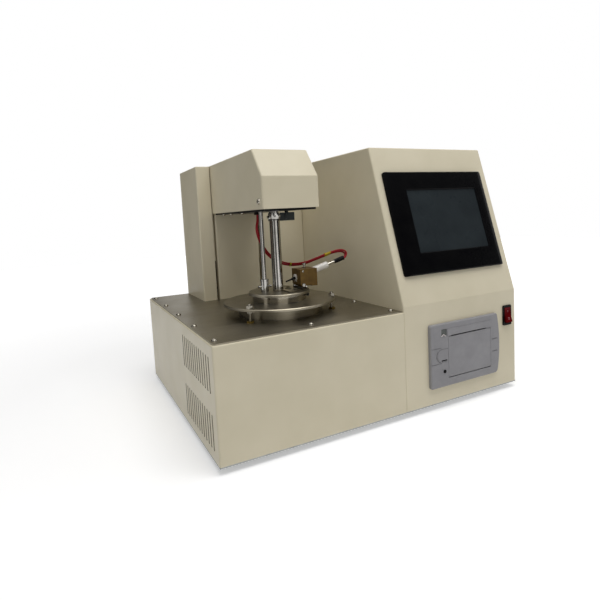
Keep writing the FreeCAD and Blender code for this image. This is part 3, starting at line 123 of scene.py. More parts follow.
def linear(hexColour):
    # sRGB hex to linear: c / 12.92 below 0.04045, else ((c + 0.055) / 1.055) to the power 2.4
    parts = np.array([int(hexColour[k : k + 2], 16) / 255 for k in (1, 3, 5)])
    curved = np.where(parts < 0.04045, parts / 12.92, ((parts + 0.055) / 1.055) ** 2.4)
    return (*curved.tolist(), 1.0)


def addNode(tree, kind, settings=None, links=None):
    # adds one node, sets its properties and inputs, and links the named inputs
    node = tree.nodes.new(kind)
    for key, value in (settings or {}).items():
        if isinstance(key, str) and hasattr(node, key):
            setattr(node, key, value)
        else:
            node.inputs[key].default_value = value
    for key, source in (links or {}).items():
        tree.links.new(source, node.inputs[key])
    return node


def seenRays(tree):
    # 1 for the rays that look at a thing, straight, in a reflection or through glass, and 0 for the rest
    rays = addNode(tree, "ShaderNodeLightPath")
    direct = addNode(tree, "ShaderNodeMath", {"operation": "MAXIMUM"},
                     {0: rays.outputs["Is Camera Ray"], 1: rays.outputs["Is Glossy Ray"]})
    every = addNode(tree, "ShaderNodeMath", {"operation": "MAXIMUM"},
                    {0: direct.outputs[0], 1: rays.outputs["Is Transmission Ray"]})
    return every.outputs[0]


light = {
    "keyPlace": (0.02, -0.6, 1.85),
    "keyAim": (0.0, 0.0, 0.15),
    "keySize": (1.5, 1.1),
    "keyWatts": 19.0,
    "fillPlace": (1.5, -0.9, 1.0),
    "fillSize": (1.2, 1.2),
    "fillWatts": 3.0,
    "roomGrey": "#FFFFFF",
    "roomLevel": 0.32,
}


def softbox(name, place, aim, size, watts):
    data = bpy.data.lights.new(name, "AREA")
    data.shape = "RECTANGLE"
    data.size, data.size_y = size
    data.energy = watts
    lamp = bpy.data.objects.new(name, data)
    lamp.location = place
    lamp.rotation_euler = (Vector(aim) - Vector(place)).to_track_quat("-Z", "Y").to_euler()
    bpy.context.collection.objects.link(lamp)


softbox("keyLight", light["keyPlace"], light["keyAim"], light["keySize"], light["keyWatts"])
softbox("fillLight", light["fillPlace"], light["keyAim"], light["fillSize"], light["fillWatts"])

world = bpy.data.worlds.new("room")
bpy.context.scene.world = world
world.use_nodes = True
room = world.node_tree
room.nodes.clear()
lit = addNode(room, "ShaderNodeBackground",
              {"Color": linear(light["roomGrey"]), "Strength": light["roomLevel"]})
white = addNode(room, "ShaderNodeBackground", {"Color": (1, 1, 1, 1), "Strength": 1.0})
mixed = addNode(room, "ShaderNodeMixShader", None,
                {0: seenRays(room), 1: lit.outputs[0], 2: white.outputs[0]})
addNode(room, "ShaderNodeOutputWorld", None, {"Surface": mixed.outputs[0]})


# Dark cards round the table, as round polished parts are photographed: only reflections see them.
cards = {
    "left": {"place": (-0.75, 0.75, 0.4), "size": (2.2, 1.2), "grey": "#565656"},
    "beside": {"place": (-0.85, -0.62, 0.45), "size": (0.8, 1.1), "grey": "#8A8A8A"},
    "right": {"place": (0.75, -1.05, 0.45), "size": (1.5, 1.3), "grey": "#3C3C3C"},
    "above": {"place": (-0.35, 0.9, 0.9), "size": (0.7, 0.6), "grey": "#484848"},
}


def studioCard(name, place, size):
    # an upright rectangle that faces the tester
    across = np.array(Vector((0, 0, 1)).cross(Vector((place[0], place[1], 0))).normalized()) * size[0] / 2
    upward = np.array((0, 0, size[1] / 2))
    middle = np.array(place)
    data = bpy.data.meshes.new(name)
    corners = [middle - across - upward, middle + across - upward, middle + across + upward,
               middle - across + upward]
    data.from_pydata([tuple(corner) for corner in corners], [], [(0, 1, 2, 3)])
    card = bpy.data.objects.new(name, data)
    bpy.context.collection.objects.link(card)
    card.visible_camera = False
    card.visible_diffuse = False
    card.visible_shadow = False
    card.visible_transmission = False
    return card


# mesh helpers

def softenEdges(shape, angle):
    # smooth faces, with a sharp edge wherever two of them meet at more than the angle in degrees
    for face in shape.faces:
        face.smooth = True
    limit = math.radians(angle)
    for edge in shape.edges:
        edge.smooth = edge.is_manifold and edge.calc_face_angle(0) < limit


def meshPiece(name, sheets, smooth=40):
    # Each sheet is a grid of points p(i, j). Neighbours in i and j make quads, and j closes on itself
    # where the sheet is marked closed. Equal points are merged, so poles and seams are shut.
    points, quads, start = [], [], 0
    for grid, closed in sheets:
        rows, cols = grid.shape[:2]
        index = start + np.arange(rows * cols).reshape(rows, cols)
        if closed:
            index = np.concatenate((index, index[:, :1]), axis=1)
        around = (index[:-1, :-1], index[:-1, 1:], index[1:, 1:], index[1:, :-1])
        quads.append(np.stack(around, -1).reshape(-1, 4))
        points.append(grid.reshape(-1, 3))
        start += rows * cols
    data = bpy.data.meshes.new(name)
    data.from_pydata(np.concatenate(points).tolist(), [], np.concatenate(quads).tolist())
    shape = bmesh.new()
    shape.from_mesh(data)
    bmesh.ops.remove_doubles(shape, verts=shape.verts, dist=2e-6)
    bmesh.ops.dissolve_degenerate(shape, edges=shape.edges, dist=1e-7)
    bmesh.ops.recalc_face_normals(shape, faces=shape.faces)
    softenEdges(shape, smooth)
    shape.to_mesh(data)
    shape.free()
    piece = bpy.data.objects.new(name, data)
    bpy.context.collection.objects.link(piece)
    return piece


def finishPiece(piece, material, body):
    piece.data.materials.append(material)
    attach(piece, body)


def aimed(points, place, direction):
    # turns points so that their z looks along a direction, then moves them to a place
    turned = np.array(Vector(direction).to_track_quat("Z", "Y").to_matrix())
    return points @ turned.T + np.asarray(place)


def ringStack(rows, steps=32):
    # p(k, a) = (r_k(a) cos a, r_k(a) sin a, z_k): every row gives its radius, a number or a
    # function of the angle a, and its height, in millimetres
    angle = np.arange(steps) * 2 * math.pi / steps
    grid = np.empty((len(rows), steps, 3))
    for k, (radius, height) in enumerate(rows):
        reach = radius(angle) if callable(radius) else np.full(steps, float(radius))
        grid[k] = np.stack((reach * np.cos(angle), reach * np.sin(angle), np.full(steps, float(height))), -1)
    return grid / 1000


def sweptBar(section, path):
    # p(i, j) = path_i + section_j, with a flat cap at both ends
    grid = path[:, None, :] + section[None, :, :]
    middle = section.mean(0)
    first = np.repeat((path[0] + middle)[None, None], section.shape[0], axis=1)
    last = np.repeat((path[-1] + middle)[None, None], section.shape[0], axis=1)
    return np.concatenate((first, grid, last)), True


def softBlock(size, place, power=0.3, steps=(12, 24)):
    # p(u, v) = place + half size * (cos u cos v, cos u sin v, sin u), where each cosine and sine keeps
    # its sign and is raised to a small power, so the ball swells into a block with soft edges
    u = np.linspace(-math.pi / 2, math.pi / 2, steps[0])[:, None]
    v = (np.arange(steps[1]) * 2 * math.pi / steps[1])[None, :]

    def swell(values):
        return np.sign(values) * np.abs(values) ** power

    ball = np.stack((swell(np.cos(u)) * swell(np.cos(v)), swell(np.cos(u)) * swell(np.sin(v)),
                     swell(np.sin(u)) * np.ones_like(v)), -1)
    return ball * np.array(size) / 2000 + np.asarray(place), True


# materials

def newMaterial(name, colour, metallic, roughness, specular=0.5):
    material = bpy.data.materials.new(name)
    material.use_nodes = True
    tree = material.node_tree
    shader = tree.nodes["Principled BSDF"]
    shader.inputs["Base Color"].default_value = linear(colour)
    shader.inputs["Metallic"].default_value = metallic
    shader.inputs["Roughness"].default_value = roughness
    shader.inputs["Specular IOR Level"].default_value = specular
    return material, tree, shader


def objectPlace(tree, stretch=(1, 1, 1), middle=(0, 0, 0)):
    # object coordinates, measured from a middle and stretched so that a pattern runs one way
    coords = addNode(tree, "ShaderNodeTexCoord")
    moved = addNode(tree, "ShaderNodeVectorMath", {"operation": "SUBTRACT", 1: tuple(middle)},
                    {0: coords.outputs["Object"]})
    scaled = addNode(tree, "ShaderNodeVectorMath", {"operation": "MULTIPLY", 1: stretch},
                     {0: moved.outputs[0]})
    return scaled.outputs[0]


def perMm(size):
    # pattern scale for a feature of this size in millimetres, as object coordinates are metres
    return 1000 / size


def speckle(tree, place, size, detail=2.0, rough=0.5):
    return addNode(tree, "ShaderNodeTexNoise", {"Scale": perMm(size), "Detail": detail, "Roughness": rough},
                   {"Vector": place}).outputs[0]


def spread(tree, source, low, high, fromLow=0.3, fromHigh=0.7):
    # carries a pattern's middle values onto a range of roughness or of mixing
    limits = {1: fromLow, 2: fromHigh, 3: low, 4: high}
    return addNode(tree, "ShaderNodeMapRange", limits, {0: source}).outputs[0]


def tinted(tree, source, dark, light, fromLow=0.3, fromHigh=0.7):
    share = spread(tree, source, 0, 1, fromLow, fromHigh)
    mix = addNode(tree, "ShaderNodeMix", {"data_type": "RGBA"}, {0: share})
    mix.inputs[6].default_value = linear(dark)
    mix.inputs[7].default_value = linear(light)
    return mix.outputs[2]


def bumped(tree, shader, source, depth, strength=1.0):
    # depth is the height of the relief in millimetres
    bump = addNode(tree, "ShaderNodeBump", {"Strength": strength, "Distance": depth / 1000},
                   {"Height": source})
    tree.links.new(bump.outputs[0], shader.inputs["Normal"])


def powderCoat(name, dark, light, specular=0.4, bare=None):
    # polyester powder coat on sheet steel, baked: even colour with a fine orange peel and a soft sheen.
    # Inside a given box, such as a row of narrow slots, the colour is painted dark as the shade in the slots.
    material, tree, shader = newMaterial(name, light, 0, 0.38, specular)
    place = objectPlace(tree)
    cloud = speckle(tree, place, 70, 3)
    peel = speckle(tree, place, 1.4, 1)
    colour = tinted(tree, cloud, dark, light, 0.35, 0.65)
    if bare:
        axes = addNode(tree, "ShaderNodeSeparateXYZ", None, {0: place}).outputs
        sides = [(axes[k], way, bare[end][k]) for k in range(3)
                 for way, end in (("GREATER_THAN", "low"), ("LESS_THAN", "high"))]
        tests = [addNode(tree, "ShaderNodeMath", {"operation": way, 1: bound}, {0: axis}).outputs[0]
                 for axis, way, bound in sides]
        inside = tests[0]
        for test in tests[1:]:
            inside = addNode(tree, "ShaderNodeMath", {"operation": "MULTIPLY"},
                             {0: inside, 1: test}).outputs[0]
        # painted shade: inside the slot box the paint takes a dark colour for the shade in the slots
        cut = addNode(tree, "ShaderNodeMix", {"data_type": "RGBA"}, {0: inside, 6: colour})
        cut.inputs[7].default_value = linear(bare["colour"])
        colour = cut.outputs[2]
    tree.links.new(colour, shader.inputs["Base Color"])
    tree.links.new(spread(tree, speckle(tree, place, 25, 3), 0.34, 0.42), shader.inputs["Roughness"])
    bumped(tree, shader, peel, 0.02, 0.35)
    return material


def brushedSheet(name, dark, light, stretch, low, high, depth=0.01, metallic=1.0):
    # rolled stainless sheet, brushed along one way: fine long scratches that spread the gloss
    material, tree, shader = newMaterial(name, light, metallic, (low + high) / 2)
    place = objectPlace(tree, stretch)
    scratch = speckle(tree, place, 0.7, 3, 0.6)
    smear = speckle(tree, objectPlace(tree), 60, 3)
    tree.links.new(tinted(tree, scratch, dark, light, 0.25, 0.75), shader.inputs["Base Color"])
    tree.links.new(spread(tree, smear, low, high), shader.inputs["Roughness"])
    bumped(tree, shader, scratch, depth, 0.5)
    return material


def turnedMetal(name, dark, light, middle, low, high, groove=0.6, depth=0.008):
    # steel faced on a lathe: rings round the axis, drawn a little coarser than real so that they show
    material, tree, shader = newMaterial(name, light, 1.0, (low + high) / 2)
    place = objectPlace(tree, (1, 1, 0), middle)
    reach = addNode(tree, "ShaderNodeVectorMath", {"operation": "LENGTH"}, {0: place}).outputs["Value"]
    level = addNode(tree, "ShaderNodeSeparateXYZ", None, {0: objectPlace(tree)}).outputs[2]
    both = addNode(tree, "ShaderNodeMath", {"operation": "ADD"}, {0: reach, 1: level}).outputs[0]
    rings = addNode(tree, "ShaderNodeTexNoise",
                    {"noise_dimensions": "1D", "Scale": perMm(groove), "Detail": 3.0}, {"W": both}).outputs[0]
    stain = speckle(tree, objectPlace(tree), 22, 3)
    tree.links.new(tinted(tree, rings, dark, light, 0.25, 0.75), shader.inputs["Base Color"])
    tree.links.new(spread(tree, stain, low, high), shader.inputs["Roughness"])
    bumped(tree, shader, rings, depth, 0.5)
    return material


def castMetal(name, dark, light, low, high, grain=1.5, depth=0.01, metallic=1.0):
    # machined or plated metal without a lay: a faint mottle in colour and gloss
    material, tree, shader = newMaterial(name, light, metallic, (low + high) / 2)
    place = objectPlace(tree)
    mottle = speckle(tree, place, 9, 3)
    tree.links.new(tinted(tree, mottle, dark, light), shader.inputs["Base Color"])
    tree.links.new(spread(tree, speckle(tree, place, 14, 3), low, high), shader.inputs["Roughness"])
    bumped(tree, shader, speckle(tree, place, grain, 2), depth, 0.35)
    return material


def mouldedPlastic(name, dark, light, low, high, grain=0.5, depth=0.02, strength=0.4, specular=0.3):
    # moulded ABS with a spark-eroded grain: fine pits and a satin gloss that differs by a few percent
    material, tree, shader = newMaterial(name, light, 0, (low + high) / 2, specular)
    place = objectPlace(tree)
    pits = speckle(tree, place, grain, 2)
    tree.links.new(tinted(tree, speckle(tree, place, 18, 3), dark, light), shader.inputs["Base Color"])
    tree.links.new(spread(tree, pits, low, high), shader.inputs["Roughness"])
    bumped(tree, shader, pits, depth, strength)
    return material


bathMiddle = (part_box("bath_plate")[0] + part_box("bath_plate")[1]) / 2

# the box of the left wall's two rows of slots, painted dark as the shade in the slots; it starts just inside
# the face
slotRows = {
    "low": spot(0.03, 13, 18).tolist(),
    "high": spot(4, 136, 130).tolist(),
    "colour": "#2B261E",
}
# the cream paint, with painted shade in the left wall's slots
paint = powderCoat("creamPowderCoat", "#D6CDB3", "#DCD3BA", 0.34, slotRows)
# painted shade: the louvre blades take a darker copy of the cream paint, for the shade inside the louvres
bladePaint = powderCoat("creamBladePaintShaded", "#A79F88", "#B4AB93", 0.3)
deckSteel = brushedSheet("brushedDeckSteel", "#817A6C", "#A29B89", (0.02, 1, 1), 0.36, 0.5)
facedSteel = turnedMetal("facedStainlessSteel", "#857E6E", "#A8A190", bathMiddle, 0.3, 0.42)
bathSteel = turnedMetal("turnedStainlessSteel", "#989284", "#B5AFA1", bathMiddle, 0.1, 0.16, 0.9, 0.003)
polished = castMetal("polishedStainlessTube", "#A5A29C", "#B9B6B0", 0.1, 0.16, 2, 0.001)
chrome = castMetal("chromePlate", "#A19F9A", "#B5B3AE", 0.1, 0.18, 2, 0.002)
nickel = castMetal("nickelPlate", "#BDB8AD", "#D2CDC2", 0.22, 0.34, 2, 0.004)
screwSteel = castMetal("pickledScrewSteel", "#8E897E", "#A8A397", 0.16, 0.28, 2, 0.003)
zinc = castMetal("zincPlate", "#8D9090", "#A9ABA9", 0.32, 0.46, 2, 0.01)
aluminium = castMetal("milledAluminium", "#A3A5A6", "#BCBEBF", 0.28, 0.4, 1.2, 0.008)
bronze = castMetal("oiledBronze", "#5A431B", "#715726", 0.4, 0.54, 1.5, 0.01, 0.55)
brass = castMetal("agedBrass", "#7A6733", "#927C42", 0.3, 0.44, 1.5, 0.006)
blackPaint = powderCoat("blackEnamel", "#0E0E0F", "#161617", 0.2)
blackScrew = castMetal("blackenedSteel", "#151515", "#202020", 0.34, 0.48, 1.5, 0.006, 0.3)
darkBlock = mouldedPlastic("darkAnodisedBlock", "#363A3A", "#424645", 0.3, 0.42, 0.8, 0.01, 0.4, 0.2)
bezelPlastic = mouldedPlastic("blackAbs", "#08080A", "#0D0D0E", 0.22, 0.3, 0.45, 0.006, 0.3, 0.05)
blackPlastic = mouldedPlastic("blackNylon", "#0B0B0C", "#121213", 0.34, 0.46, 0.5, 0.015, 0.35, 0.08)
greyPlastic = mouldedPlastic("greyAbs", "#8A898C", "#949396", 0.4, 0.52, 0.4, 0.012)
darkGrey = mouldedPlastic("darkGreyAbs", "#565A58", "#60645F", 0.42, 0.54, 0.4, 0.015)
innerGrey = mouldedPlastic("innerGreyAbs", "#202123", "#2A2B2D", 0.5, 0.62, 0.6, 0.02)
rubber = mouldedPlastic("nitrileRubber", "#0D0D0D", "#161615", 0.6, 0.75, 0.7, 0.03, 0.4, 0.12)
heatShrink = mouldedPlastic("polyolefinSleeve", "#080808", "#0F0F10", 0.34, 0.46, 0.9, 0.03, 0.4, 0.15)
rockerRed = mouldedPlastic("redPolycarbonate", "#54080C", "#6C0D12", 0.14, 0.22, 3, 0.003, 0.2, 0.06)
paper = mouldedPlastic("thermalPaper", "#E2E1DC", "#ECEBE6", 0.62, 0.75, 0.3, 0.004, 0.2)
boardGreen = mouldedPlastic("glassEpoxyBoard", "#0F3A1E", "#1B5A30", 0.3, 0.45, 1.6, 0.02)
porcelain = mouldedPlastic("glazedPorcelain", "#DCD8D0", "#EAE6DE", 0.12, 0.2, 4, 0.006, 0.2, 0.5)
leadRed = mouldedPlastic("siliconeLead", "#86101B", "#A01823", 0.34, 0.46, 1.2, 0.01, 0.3, 0.15)
tieYellow = mouldedPlastic("yellowTie", "#A68F1A", "#C0A628", 0.34, 0.46, 1.0, 0.01, 0.3, 0.2)
markWhite = mouldedPlastic("printedMark", "#CFC6C4", "#DDD5D3", 0.4, 0.5, 0.6, 0.002, 0.2)
markPink = mouldedPlastic("printedSwitchMark", "#A8787A", "#B88688", 0.4, 0.5, 0.6, 0.002, 0.2)


def touchScreen():
    # resistive touch film over an unlit panel: near black blue with a very faint grain, half gloss
    material, tree, shader = newMaterial("touchFilm", "#24292D", 0, 0.28, 0.04)
    place = objectPlace(tree)
    film = tinted(tree, speckle(tree, place, 45, 2), "#262B2E", "#2D3336")
    tree.links.new(film, shader.inputs["Base Color"])
    tree.links.new(spread(tree, speckle(tree, place, 30, 3), 0.24, 0.34), shader.inputs["Roughness"])
    bumped(tree, shader, speckle(tree, place, 0.25, 1), 0.003, 0.2)
    return material


screenFilm = touchScreen()

finishes = {
    paint: "base_shell control_shell rear_panel column_cover column_panel head_cover",
    deckSteel: "deck_plate",
    facedSteel: "bath_plate bath_skirt lid_plate shutter_plate",
    bathSteel: "lid_ring test_cup",
    polished: "shutter_tube hanger_post guide_rods temperature_probe stirrer",
    chrome: "probe_collar igniter_bracket",
    screwSteel: "bath_bolts",
    zinc: "bottom_pan power_supply lead_screw",
    aluminium: "lift_frame carriage heater_block shutter_crank",
    bronze: "igniter_block",
    brass: "bath_nuts lead_nut",
    blackPaint: "lift_motor head_chassis stirrer_motor shutter_motor",
    darkBlock: "drive_lever",
    bezelPlastic: "hmi_bezel",
    blackPlastic: "switch_housing power_inlet fuse_holder fan_frame fan_rotor",
    greyPlastic: "printer_frame printer_door printer_latch",
    darkGrey: "feed_button",
    innerGrey: "printer_body",
    rubber: "rubber_feet lead_grommet platen_roller",
    heatShrink: "electrode",
    rockerRed: "power_rocker",
    paper: "paper_roll",
    boardGreen: "controller_board",
    screenFilm: "hmi_screen",
}
for material, nodes in finishes.items():
    for node in nodes.split():
        for place in frame["nodes"][node].material_slots:
            place.material = material


# Round and bent nodes are shown as merged copies, smooth up to an angle, so that their facets don't show.
# Turned nodes get exact normals instead of averaged ones, so that a reflection runs straight up a tube.
# A face counts as part of an upright cylinder where its corners are equally far from the axis, to within
# onCylinder in metres, and the z of its normal is under upright.
copies = {
    "sharpAngle": 34,
    "onCylinder": 5e-5,
    "upright": 0.05,
    "ownAxis": ("hanger_post", "temperature_probe"),
    "turned": """shutter_tube hanger_post temperature_probe lid_ring lid_plate test_cup bath_skirt
        stirrer""".split(),
    "nodes": """base_shell control_shell deck_plate column_cover head_cover bath_plate bath_skirt lid_plate
        lid_ring shutter_plate test_cup shutter_tube hanger_post temperature_probe probe_collar stirrer
        igniter_bracket bath_nuts bath_bolts drive_lever electrode igniter_block printer_frame printer_door
        printer_latch hmi_bezel switch_housing power_rocker rubber_feet lead_grommet power_inlet fuse_holder
        fan_frame fan_rotor""".split(),
}
joints = {joint["name"]: joint for joint in frame["record"]["behaviour"]["joints"]}
bathCentre = joints["stirrer_turn"]["pos_m"][:2]


def turnedNormals(data, centre):
    # Where a face lies on a cylinder round the upright axis, n = (p - centre) / |p - centre| at each
    # corner, inwards in a bore. A zero vector leaves the other corners as they are.
    corners = np.array([data.vertices[loop.vertex_index].co for loop in data.loops]).reshape(-1, 3, 3)
    faces = np.array([face.normal for face in data.polygons])
    away = corners[:, :, :2] - centre
    reach = np.linalg.norm(away, axis=2)
    away = away / np.maximum(reach, copies["onCylinder"])[:, :, None]
    onIt = (np.ptp(reach, axis=1) < copies["onCylinder"]) & (np.abs(faces[:, 2]) < copies["upright"])
    side = np.sign((faces[:, None, :2] * away).sum(axis=2).mean(axis=1))
    normals = np.zeros_like(corners)
    normals[onIt, :, :2] = away[onIt] * side[onIt, None, None]
    data.normals_split_custom_set(normals.reshape(-1, 3).tolist())


def smoothCopy(node):
    # the node's own mesh with its equal points merged, on the node's body and in its slot
    source = frame["nodes"][node]
    words = node.split("_")
    name = words[0] + "".join(word.capitalize() for word in words[1:])
    points = np.empty(len(source.data.vertices) * 3)
    source.data.vertices.foreach_get("co", points)
    corners = np.empty(len(source.data.loops), dtype=np.int32)
    source.data.loops.foreach_get("vertex_index", corners)
    data = bpy.data.meshes.new(name)
    data.from_pydata(points.reshape(-1, 3).tolist(), [], corners.reshape(-1, 3).tolist())
    shape = bmesh.new()
    shape.from_mesh(data)
    bmesh.ops.remove_doubles(shape, verts=shape.verts, dist=1e-6)
    softenEdges(shape, copies["sharpAngle"])
    shape.to_mesh(data)
    shape.free()
    piece = bpy.data.objects.new(name, data)
    bpy.context.collection.objects.link(piece)
    if node in copies["turned"]:
        places = np.array([vertex.co for vertex in data.vertices])
        own = (places.min(axis=0) + places.max(axis=0))[:2] / 2
        turnedNormals(data, own if node in copies["ownAxis"] else np.array(bathCentre))
    else:
        weighted = piece.modifiers.new("weightedNormals", "WEIGHTED_NORMAL")
        weighted.keep_sharp = True
    for place in source.material_slots:
        data.materials.append(place.material)
    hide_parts(node)
    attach(piece, source["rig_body"])


for node in copies["nodes"]:
    smoothCopy(node)
print(len(copies["nodes"]), "nodes smoothed")

for name, card in cards.items():
    cloth = newMaterial(name + "CardCloth", card["grey"], 0, 0.9, 0)[0]
    studioCard(name + "Card", card["place"], card["size"]).data.materials.append(cloth)
print("materials set")


# ignition leads

leads = {
    "radius": 1.25,
    "gap": 3.2,
    "drop": 1.25,
    "start": (111.3, 125.8, 275.0),
    "exit": 7.0,
    "points": ((108.6, 127.4, 257.0), (114.5, 132.0, 240.0), (128.5, 139.5, 218.0), (150.0, 136.0, 203.4),
               (172.5, 122.6, 201.8), (197.0, 116.6, 209.6), (218.5, 112.6, 216.6), (231.0, 107.4, 218.4),
               (235.0, 102.2, 214.8)),
    "end": (228.402, 100.0, 207.983),
    "turn": 3.4,
}


def leadPath(side):
    # control points of one lead: out of the grommet, down behind the tubes, and round into the sleeve
    aside = np.array((0, side * leads["gap"] / 2, 0))
    rise = math.radians(electrodeSlope)
    along = np.array((math.cos(rise), 0, math.sin(rise)))
    start = np.array(leads["start"]) + aside
    middle = np.array(leads["points"]) + aside - np.array((0, 0, side * leads["drop"]))
    end = np.array(leads["end"]) + aside
    rows = [start, start - np.array((0, 0, leads["exit"])), *middle, end + along * leads["turn"], end]
    return spots(rows)


def splineLine(name, route):
    # the smooth line of a NURBS spline with the route as its control points
    curve = bpy.data.curves.new(name, "CURVE")
    curve.dimensions = "3D"
    spline = curve.splines.new("NURBS")
    spline.points.add(len(route) - 1)
    spline.points.foreach_set("co", np.column_stack((route, np.ones(len(route)))).ravel())
    spline.order_u = 3
    spline.use_endpoint_u = True
    spline.resolution_u = 10
    holder = bpy.data.objects.new(name, curve)
    bpy.context.collection.objects.link(holder)
    bpy.context.view_layer.update()
    line = bpy.data.meshes.new_from_object(holder)
    points = np.empty(len(line.vertices) * 3)
    line.vertices.foreach_get("co", points)
    bpy.data.objects.remove(holder)
    bpy.data.meshes.remove(line)
    return points.reshape(-1, 3)


def tubeAlong(line, radius, sides=16):
    # p(i, a) = line_i + r (n_i cos a + b_i sin a), with n and b square to the line's direction and
    # b square to y, which the line never follows
    ahead = np.gradient(line, axis=0)
    ahead /= np.linalg.norm(ahead, axis=1)[:, None]
    across = np.cross(ahead, (0, 1, 0))
    across /= np.linalg.norm(across, axis=1)[:, None]
    upward = np.cross(across, ahead)
    angle = np.arange(sides) * 2 * math.pi / sides
    rim = across[:, None] * np.cos(angle)[None, :, None] + upward[:, None] * np.sin(angle)[None, :, None]
    grid = line[:, None] + rim * radius
    first = np.repeat(line[:1, None], sides, axis=1)
    last = np.repeat(line[-1:, None], sides, axis=1)
    return np.concatenate((first, grid, last)), True


for side, name in ((-1, "leadFront"), (1, "leadRear")):
    route = leadPath(side)
    line = splineLine(name + "Line", route)
    lead = meshPiece(name, [tubeAlong(line, leads["radius"] / 1000)])
    lead.data.materials.append(leadRed)
    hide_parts("ignition_leads")
    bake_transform(lead)
    length = float(np.linalg.norm(np.diff(line, axis=0), axis=1).sum())
    print(name, "length", round(length, 4))
print("leads laid")


# ties round the two leads

ties = {
    "wide": {"from": 205.8, "to": 214.2, "thick": 0.45, "headAt": 207.0, "headSize": (3.2, 2.4, 1.6)},
    "small": {"from": 157.6, "to": 159.8, "thick": 0.35, "headAt": 158.7, "headSize": (1.8, 1.8, 1.4)},
}
# The band bites into the leads down to a share of their radius, its edges are thinner, and its thickness
# waves along it. Its outline crosses from one lead to the other the more sharply, the larger crossing is.
band = {
    "loops": 9,
    "steps": 32,
    "bite": 0.95,
    "thinEdge": 0.1,
    "waver": 0.06,
    "waverStep": 2.3,
    "crossing": 6,
}


def tieBand(name, middleLine):
    # p(i, a) = line_i + the outline of two circles side by side, kept flat and tilted as the leads lie
    tie = ties[name]
    outward = middleLine[: int(np.argmax(middleLine[:, 0]))]
    x = cornerX + np.linspace(tie["from"], tie["to"], band["loops"]) / 1000
    path = np.stack((x, np.interp(x, outward[:, 0], outward[:, 1]),
                     np.interp(x, outward[:, 0], outward[:, 2])), -1)
    tilt = math.atan2(-2 * leads["drop"], leads["gap"])
    half = math.hypot(leads["gap"] / 2, leads["drop"])
    angle = np.arange(band["steps"]) * 2 * math.pi / band["steps"]

    def loop(k, reach):
        wide = half * np.tanh(band["crossing"] * np.cos(angle)) + reach * np.cos(angle)
        high = reach * np.sin(angle)
        y = wide * math.cos(tilt) - high * math.sin(tilt)
        z = wide * math.sin(tilt) + high * math.cos(tilt)
        return path[k] + np.stack((np.zeros(len(angle)), y, z), -1) / 1000

    outer = leads["radius"] + tie["thick"]
    inner = leads["radius"] * band["bite"]
    edge = outer - band["thinEdge"]
    last = band["loops"] - 1
    loops = [loop(0, inner), loop(0, edge)]
    loops += [loop(k, outer + band["waver"] * math.sin(band["waverStep"] * k)) for k in range(1, last)]
    loops += [loop(last, edge), loop(last, inner), loop(0, inner)]
    headX = cornerX + tie["headAt"] / 1000
    headPlace = (headX, np.interp(headX, path[:, 0], path[:, 1]),
                 np.interp(headX, path[:, 0], path[:, 2]) + (outer + tie["headSize"][2] / 4) / 1000)
    return meshPiece(name + "Tie", [(np.array(loops), True), softBlock(tie["headSize"], headPlace)])


middleLine = splineLine("tieLine", leadPath(0))
wideTie = tieBand("wide", middleLine)
wideTie.data.materials.append(tieYellow)
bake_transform(wideTie)
finishPiece(tieBand("small", middleLine), tieYellow, "head")
print("ties on")


# igniter

igniter = {
    "face": (150.5, 100.0, 187.4),
    "blockRun": 26.375,
    "ceramicRadius": 4.8,
    "ceramicLength": 26.2,
    "terminalRadius": 1.75,
    "terminalLength": 11.9,
    "sleeveRadius": 3.2,
    "sleeveLength": 16.1,
    "frontScrewAt": (154.6, 84.7, 197.0),
    "clampScrewAt": (165.0, 100.0, 199.7),
}
igniterSlope = math.radians(electrodeSlope)
igniterAxis = np.array((math.cos(igniterSlope), 0, math.sin(igniterSlope)))


def alongIgniter(rows, distance, steps=40):
    # a turned shape on the electrode's line, starting at a distance from the block's left face
    place = spot(*(np.array(igniter["face"]) + distance * igniterAxis))
    return aimed(ringStack(rows, steps), place, igniterAxis), True


def insulatorRows():
    # glazed tube: its ends are rounded, and it swells and narrows by 0.04 mm
    length = igniter["blockRun"] + igniter["ceramicLength"]
    radius = igniter["ceramicRadius"]
    rows = [(0, 0.1), (1.95, 0.1), (1.95, -0.6), (2.3, -0.8), (radius - 0.6, -0.8), (radius, -0.3)]
    for t in np.linspace(0.02, 0.98, 24):
        rows.append((radius + 0.04 * math.sin(t * 23), length * t))
    return rows + [(radius, length - 0.9), (radius - 0.25, length - 0.3), (radius - 0.9, length), (0, length)]


insulator = meshPiece("glazedInsulator", [alongIgniter(insulatorRows(), 0, 48)])
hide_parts("insulator")
finishPiece(insulator, porcelain, "igniter")

faceRing = [(5.0, 0), (5.9, 0), (5.9, 0.5), (5.6, 0.8), (5.2, 0.8), (5.0, 0.5), (5.0, 0)]
ringPlace = spot(*igniter["face"])
finishPiece(meshPiece("insulatorRing", [(aimed(ringStack(faceRing, 40), ringPlace, (-1, 0, 0)), True)]),
            nickel, "igniter")

terminalStart = igniter["blockRun"] + igniter["ceramicLength"]
pinRadius = igniter["terminalRadius"]
pinLength = igniter["terminalLength"] + 1.5
pinRows = [(0, -0.4), (2.9, -0.4), (2.9, 0.5), (2.6, 0.9), (pinRadius, 1.0), (pinRadius, 6.0),
           (pinRadius - 0.2, 6.2), (pinRadius - 0.2, 6.9), (pinRadius, 7.1), (pinRadius, pinLength),
           (0, pinLength)]
terminal = meshPiece("terminalPin", [alongIgniter(pinRows, terminalStart, 32)])
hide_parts("terminal_sleeve")
finishPiece(terminal, nickel, "igniter")


